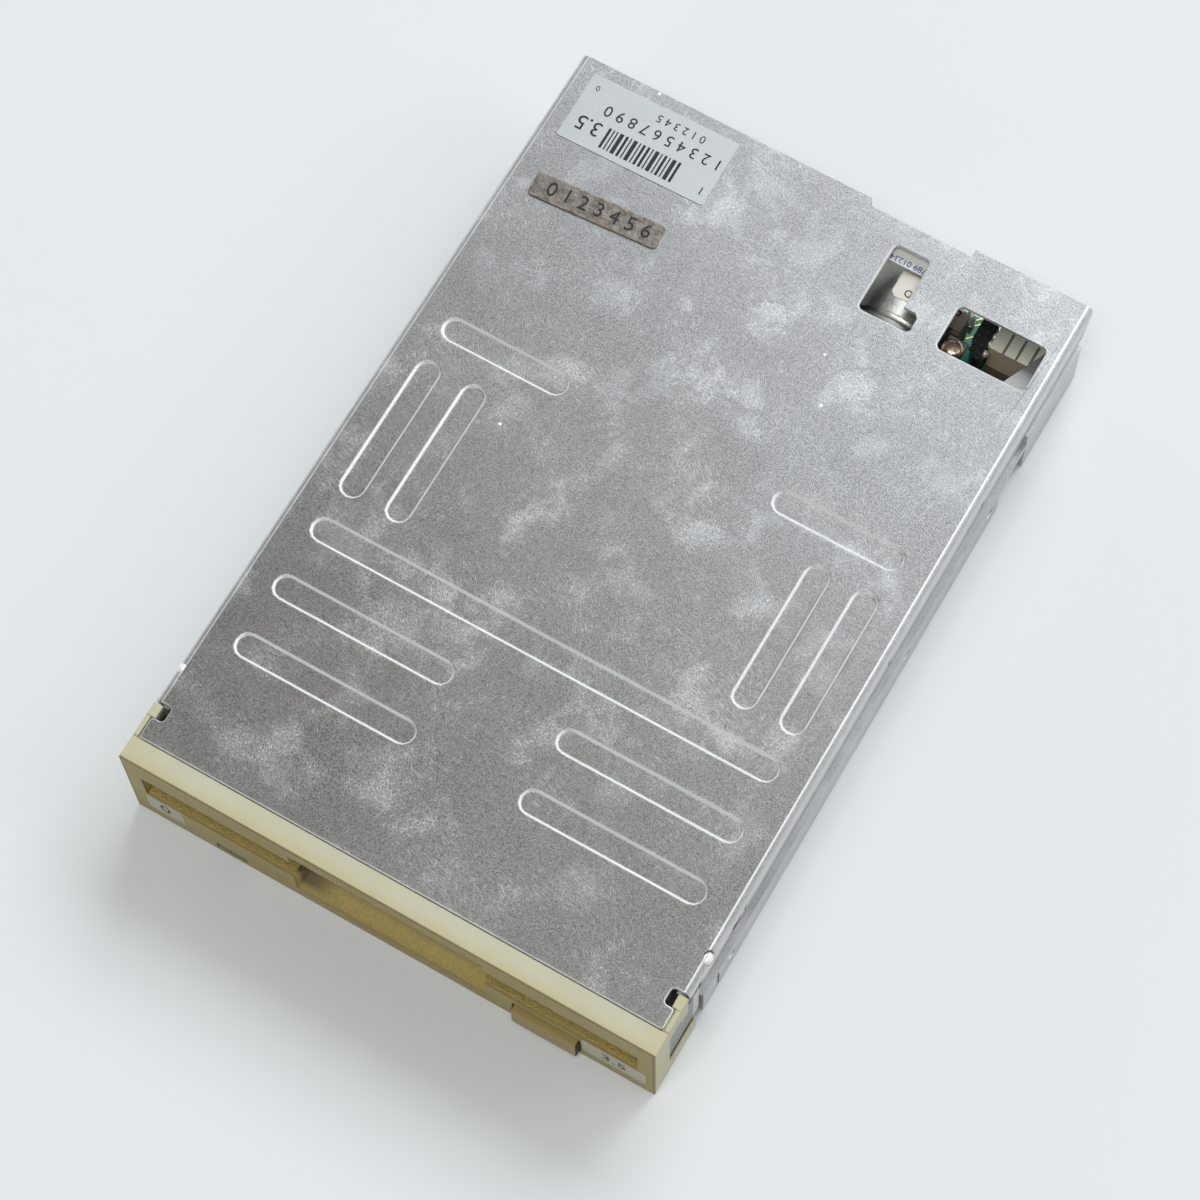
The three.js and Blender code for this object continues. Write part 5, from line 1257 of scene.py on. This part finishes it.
foldBoss = {"across": 50.05, "back": 18.5, "base": 24.3, "size": (0.85, 1.25, 0.95), "foot": (0.8, 0.8, 1.0)}
solderBlobs = {
    "size": 0.7, "foot": (0.7, 0.7, 1.0), "sag": (-0.1, 0, -0.9),
    "places": [(36.4, 141.5, 11.3), (36.35, 143.5, 11.5), (36.4, 145.2, 11.3)],
}


def ballAt(name, place, radius, segments):
    return started(name, bpy.ops.mesh.primitive_uv_sphere_add, segments=segments, ring_count=12,
                   radius=radius * mm, location=place)


def makeFoldBosses():
    # the tray's bright rounded corners, seen in the two relief holes of the cover's folds
    bosses = []
    for side in (-1, 1):
        centre = at(side * foldBoss["across"], foldBoss["back"], foldBoss["base"])
        boss = ballAt("foldBoss", centre, 1, 24)
        chooseAll(boss)
        bpy.ops.transform.resize(value=foldBoss["size"], center_override=centre)
        leaveEdit(boss)
        chooseFaces(boss, lambda place, normal: place.z < foldBoss["base"] - 0.1)
        bpy.ops.transform.resize(value=foldBoss["foot"], center_override=centre)
        bosses.append(leaveEdit(boss))
    return smoothed(joined("foldBosses", bosses), 60)


def makeSolderBlobs():
    # bright rounded joints beside the jumper block
    blobs = []
    for x, back, z in solderBlobs["places"]:
        blob = ballAt("solderBlob", at(x, back, z), solderBlobs["size"], 20)
        chooseFaces(blob, lambda place, normal, high=z: place.z < high - 0.2)
        bpy.ops.transform.resize(value=solderBlobs["foot"], center_override=at(x, back, z))
        bpy.ops.transform.translate(value=Vector(solderBlobs["sag"]) * mm)
        blobs.append(leaveEdit(blob))
    return smoothed(joined("solderBlobs", blobs), 60)


settle(makeFoldBosses(), "chassis", "bossSteel", replaces=False)

rearLug = {"low": (32.3, 148.2, 3.78), "high": (36.2, 150.6, 4.6), "margin": 0.3, "rise": 0.1, "edge": 0.12}
lug = raised(blockAt("rearLug", rearLug["low"], rearLug["high"]), rearLug["margin"], (0, 0, rearLug["rise"]))
settle(smoothed(bevelled(lug, rearLug["edge"])), "chassis", "chassisSteel", replaces=False)

settle(makeSolderBlobs(), "jumper_block", "solder", replaces=False)

jumperHoles = {
    "across": (33.95, 35.35), "back": (140.6, 142.0, 143.4, 144.8, 146.2), "top": 12.5,
    "outer": 0.42, "rim": 0.18, "deep": 0.15,
}
boardRuns = {"places": [(29.6, 147.4), (29.6, 148.8), (30.4, 145.4)], "long": 3.4, "wide": 0.22, "high": 3.74}


def makeJumperHoles():
    # the small round openings in the jumper block's top
    first = started("jumperHole", bpy.ops.mesh.primitive_cylinder_add, vertices=16,
                    radius=jumperHoles["outer"] * mm, depth=0.2 * mm)
    raised(first, jumperHoles["rim"], (0, 0, -jumperHoles["deep"]))
    rings = [copied(first, (x, back - faceToMiddle, jumperHoles["top"]))
             for x in jumperHoles["across"] for back in jumperHoles["back"]]
    bpy.data.objects.remove(first)
    return smoothed(joined("jumperHoles", rings))


def makeBoardRuns():
    # gold runs on the board, seen under the window
    half = boardRuns["wide"] / 2
    runs = []
    for x, back in boardRuns["places"]:
        run = bevelled(boxAt("boardRun", (0, -half, 0), (boardRuns["long"], half, 0.05)), 0.02, 1)
        runs.append(placed(run, at(x, back, boardRuns["high"]), (0, 0, 45)))
    return joined("boardRuns", runs)


settle(makeJumperHoles(), "jumper_block", "chipPlastic", replaces=False)
settle(makeBoardRuns(), "main_board", "goldPin", replaces=False)

leadScrew = {
    "axis": (21.0, 13.2), "back": (100.6, 143.7), "thread": 104.2,
    "crest": 1.5, "root": 1.2, "pitch": 3.75, "turns": 6,
}


def makeLeadScrew():
    # the screw's round ends with a wound groove between them
    (x, z), (front, rear) = leadScrew["axis"], leadScrew["back"]
    start, crest, root, pitch = (leadScrew[key] for key in ("thread", "crest", "root", "pitch"))
    end = start + leadScrew["turns"] * pitch
    shares = ((crest, 0), (crest, 0.5), (root, 0.6), (root, 0.9), (crest, 1))  # of one turn's pitch
    thread = drawnLine("leadThread", [(radius, 0, share * pitch) for radius, share in shares])
    parts = [placed(wound(thread, leadScrew["turns"], pitch, 32), at(x, end + pitch, z), (90, 0, 0))]
    # the front end, the rear end and the core, which run on into each other
    rods = ((front, start + 1.0, crest), (end + 2.0, rear, crest), (start, end + 3.0, root * 0.9))
    for low, high, radius in rods:
        parts.append(bevelled(barAt("leadRod", x, z, low, high, radius, 40), 0.2, 2, 60))
    return smoothed(joined("leadScrew", parts))


settle(makeLeadScrew(), "lead_screw", "brightSteel")

print("stage: wound springs")

springs = {
    # node: piece, radius to the middle of the wire, wire, turns, length, place of the start, turn of the axis
    "eject_spring_left": ("ejectSpringA", 2.0, 0.55, 12, 12.4, (-36.0, 111.6, 11.3), (90, 0, 0)),
    "eject_spring_right": ("ejectSpringB", 2.0, 0.55, 12, 12.4, (36.0, 111.6, 11.3), (90, 0, 0)),
    "shutter_spring": ("shutterSpring", 2.45, 0.38, 3, 1.15, (-40.0, 93.5, 18.83), (0, 0, 0)),
    "door_spring": ("doorSpring", 1.2, 0.35, 12, 4.95, (-42.0, 4.7, 20.0), (0, 90, 0)),
}

for nodeName, (name, radius, wire, turns, length, place, turn) in springs.items():
    coil = started(name, bpy.ops.mesh.primitive_circle_add, vertices=8, radius=wire * mm / 2,
                   location=(radius * mm, 0, wire * mm / 2), rotation=(math.pi / 2, 0, 0))
    wound(coil, turns, (length - wire) / turns, 24)
    settle(smoothed(placed(coil, at(*place), turn), 60), nodeName, "brightSteel")

print("stage: board details")

gullLeg = {
    "wide": 0.3, "thick": 0.15, "body": 1.45, "steps": ((0, 0.25, 0.25), (0, 0.1, 0.35), (0, 0.6, 0.06)),
}
chips = {
    # node: name of the legs, middle and half size across and back, pitch, the turns of the sides with legs
    "controller_chip": ("controllerLegs", (-12.0, 122.0), (7.0, 7.0), 0.8, (0, 180, 90, 270)),
    "driver_chip": ("driverLegs", (20.0, 112.0), (6.0, 4.0), 1.1, (0, 180)),
}
legMargin = 1.4  # what the corners of a chip leave free


def makeLeg():
    # a flat lead that leaves the chip, climbs to the board and ends in a foot; it points along +Y
    wide, thick, body = gullLeg["wide"] / 2, gullLeg["thick"] / 2, gullLeg["body"]
    leg = boxAt("gullLeg", (-wide, -0.1, body - thick), (wide, 0.45, body + thick))
    for step in gullLeg["steps"]:
        chooseFaces(leg, lambda place, normal: normal.y > 0.4 and place.y > 0.2 and normal.y > abs(normal.z))
        bpy.ops.mesh.extrude_region_move(TRANSFORM_OT_translate={"value": Vector(step) * mm})
        leaveEdit(leg)
    return leg


def makeLegs(leg, name, middle, half, pitch, turns):
    legs = []
    for turn in turns:
        run, reach = half if turn in (0, 180) else reversed(half)
        count = int((2 * run - legMargin) / pitch) + 1
        angle = math.radians(turn)
        for index in range(count):
            along = (index - (count - 1) / 2) * pitch
            place = (middle[0] + along * math.cos(angle) - reach * math.sin(angle),
                     middle[1] + along * math.sin(angle) + reach * math.cos(angle) - faceToMiddle, 0)
            legs.append(copied(leg, place, turn))
    return joined(name, legs)


leg = makeLeg()
for nodeName, spec in chips.items():
    settle(makeLegs(leg, *spec), nodeName, "solder", replaces=False)
bpy.data.objects.remove(leg)

smallParts = {
    # chip resistors and capacitors under the main board: x, back from the face, turn
    "places": [
        (-30, 112, 0), (-30, 115, 0), (-30, 118, 0), (-30, 121, 0), (-27, 132, 90), (-24, 132, 90),
        (-21, 132, 90), (-12, 134, 90), (-9, 134, 90), (-2, 112, 0), (-2, 115, 0), (-2, 118, 0), (-1, 124, 0),
        (-1, 127, 0), (6, 110, 90), (9, 110, 90), (8, 121, 0), (12, 121, 0), (16, 121, 0), (20, 121, 0),
        (24, 121, 0), (30, 108, 90), (30, 113, 90), (34, 118, 0), (38, 118, 0), (38, 126, 90), (30, 130, 0),
        (20, 130, 0), (10, 130, 0), (-36, 106, 0), (-36, 109, 0), (-40, 118, 90), (-40, 124, 90),
        (40, 106, 0), (40, 109, 0),
    ],
    "size": (2.0, 1.25, 0.6), "under": 2.2, "cap": 0.62,
}


def makeSmallPart():
    wide, long, tall = smallParts["size"]
    part = boxAt("smallPart", (-wide / 2, -long / 2, smallParts["under"] - tall),
                 (wide / 2, long / 2, smallParts["under"] - 0.01))
    for x in (-smallParts["cap"], smallParts["cap"]):
        chooseAll(part)
        bpy.ops.mesh.bisect(plane_co=(x * mm, 0, 0), plane_no=(1, 0, 0))
        leaveEdit(part)
    chooseFaces(part, lambda place, normal: abs(place.x) < 0.6 and abs(normal.x) < 0.5 and normal.z < 0.5)
    bpy.ops.mesh.inset(thickness=0.01 * mm, use_even_offset=True)
    bpy.ops.transform.shrink_fatten(value=-0.05 * mm)
    return leaveEdit(part)


def makeSmallParts():
    first = makeSmallPart()
    parts = []
    for x, back, turn in smallParts["places"]:
        middle = Vector((x, back - faceToMiddle, 0))
        obj = copied(first, middle, turn)
        obj.data.materials.clear()
        for finish in ("ceramicTan" if (x + back) % 2 else "blackPlastic", "solder"):
            obj.data.materials.append(bpy.data.materials[finish])
        for face in obj.data.polygons:
            away = face.center / mm - middle
            along = away.y if turn == 90 else away.x
            face.material_index = 1 if abs(along) > smallParts["cap"] + 0.01 else 0
        parts.append(obj)
    bpy.data.objects.remove(first)
    return joined("smallParts", parts)


boardParts = makeSmallParts()
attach(boardParts, bodyOf["main_board"])

print("stage: floor")

tree, shader = startMaterial("paleSheet", 0.0, 0.85)
tone = noiseIn(objectPlace(tree), 2.0, 3.0, 0.5)
paint(shader, mixColour(tone, light["paper"], shaded(light["paper"], 1.012)))
floor = started("paperFloor", bpy.ops.mesh.primitive_plane_add, size=8, location=(0, 0, -0.0002))
floor.data.materials.append(bpy.data.materials["paleSheet"])
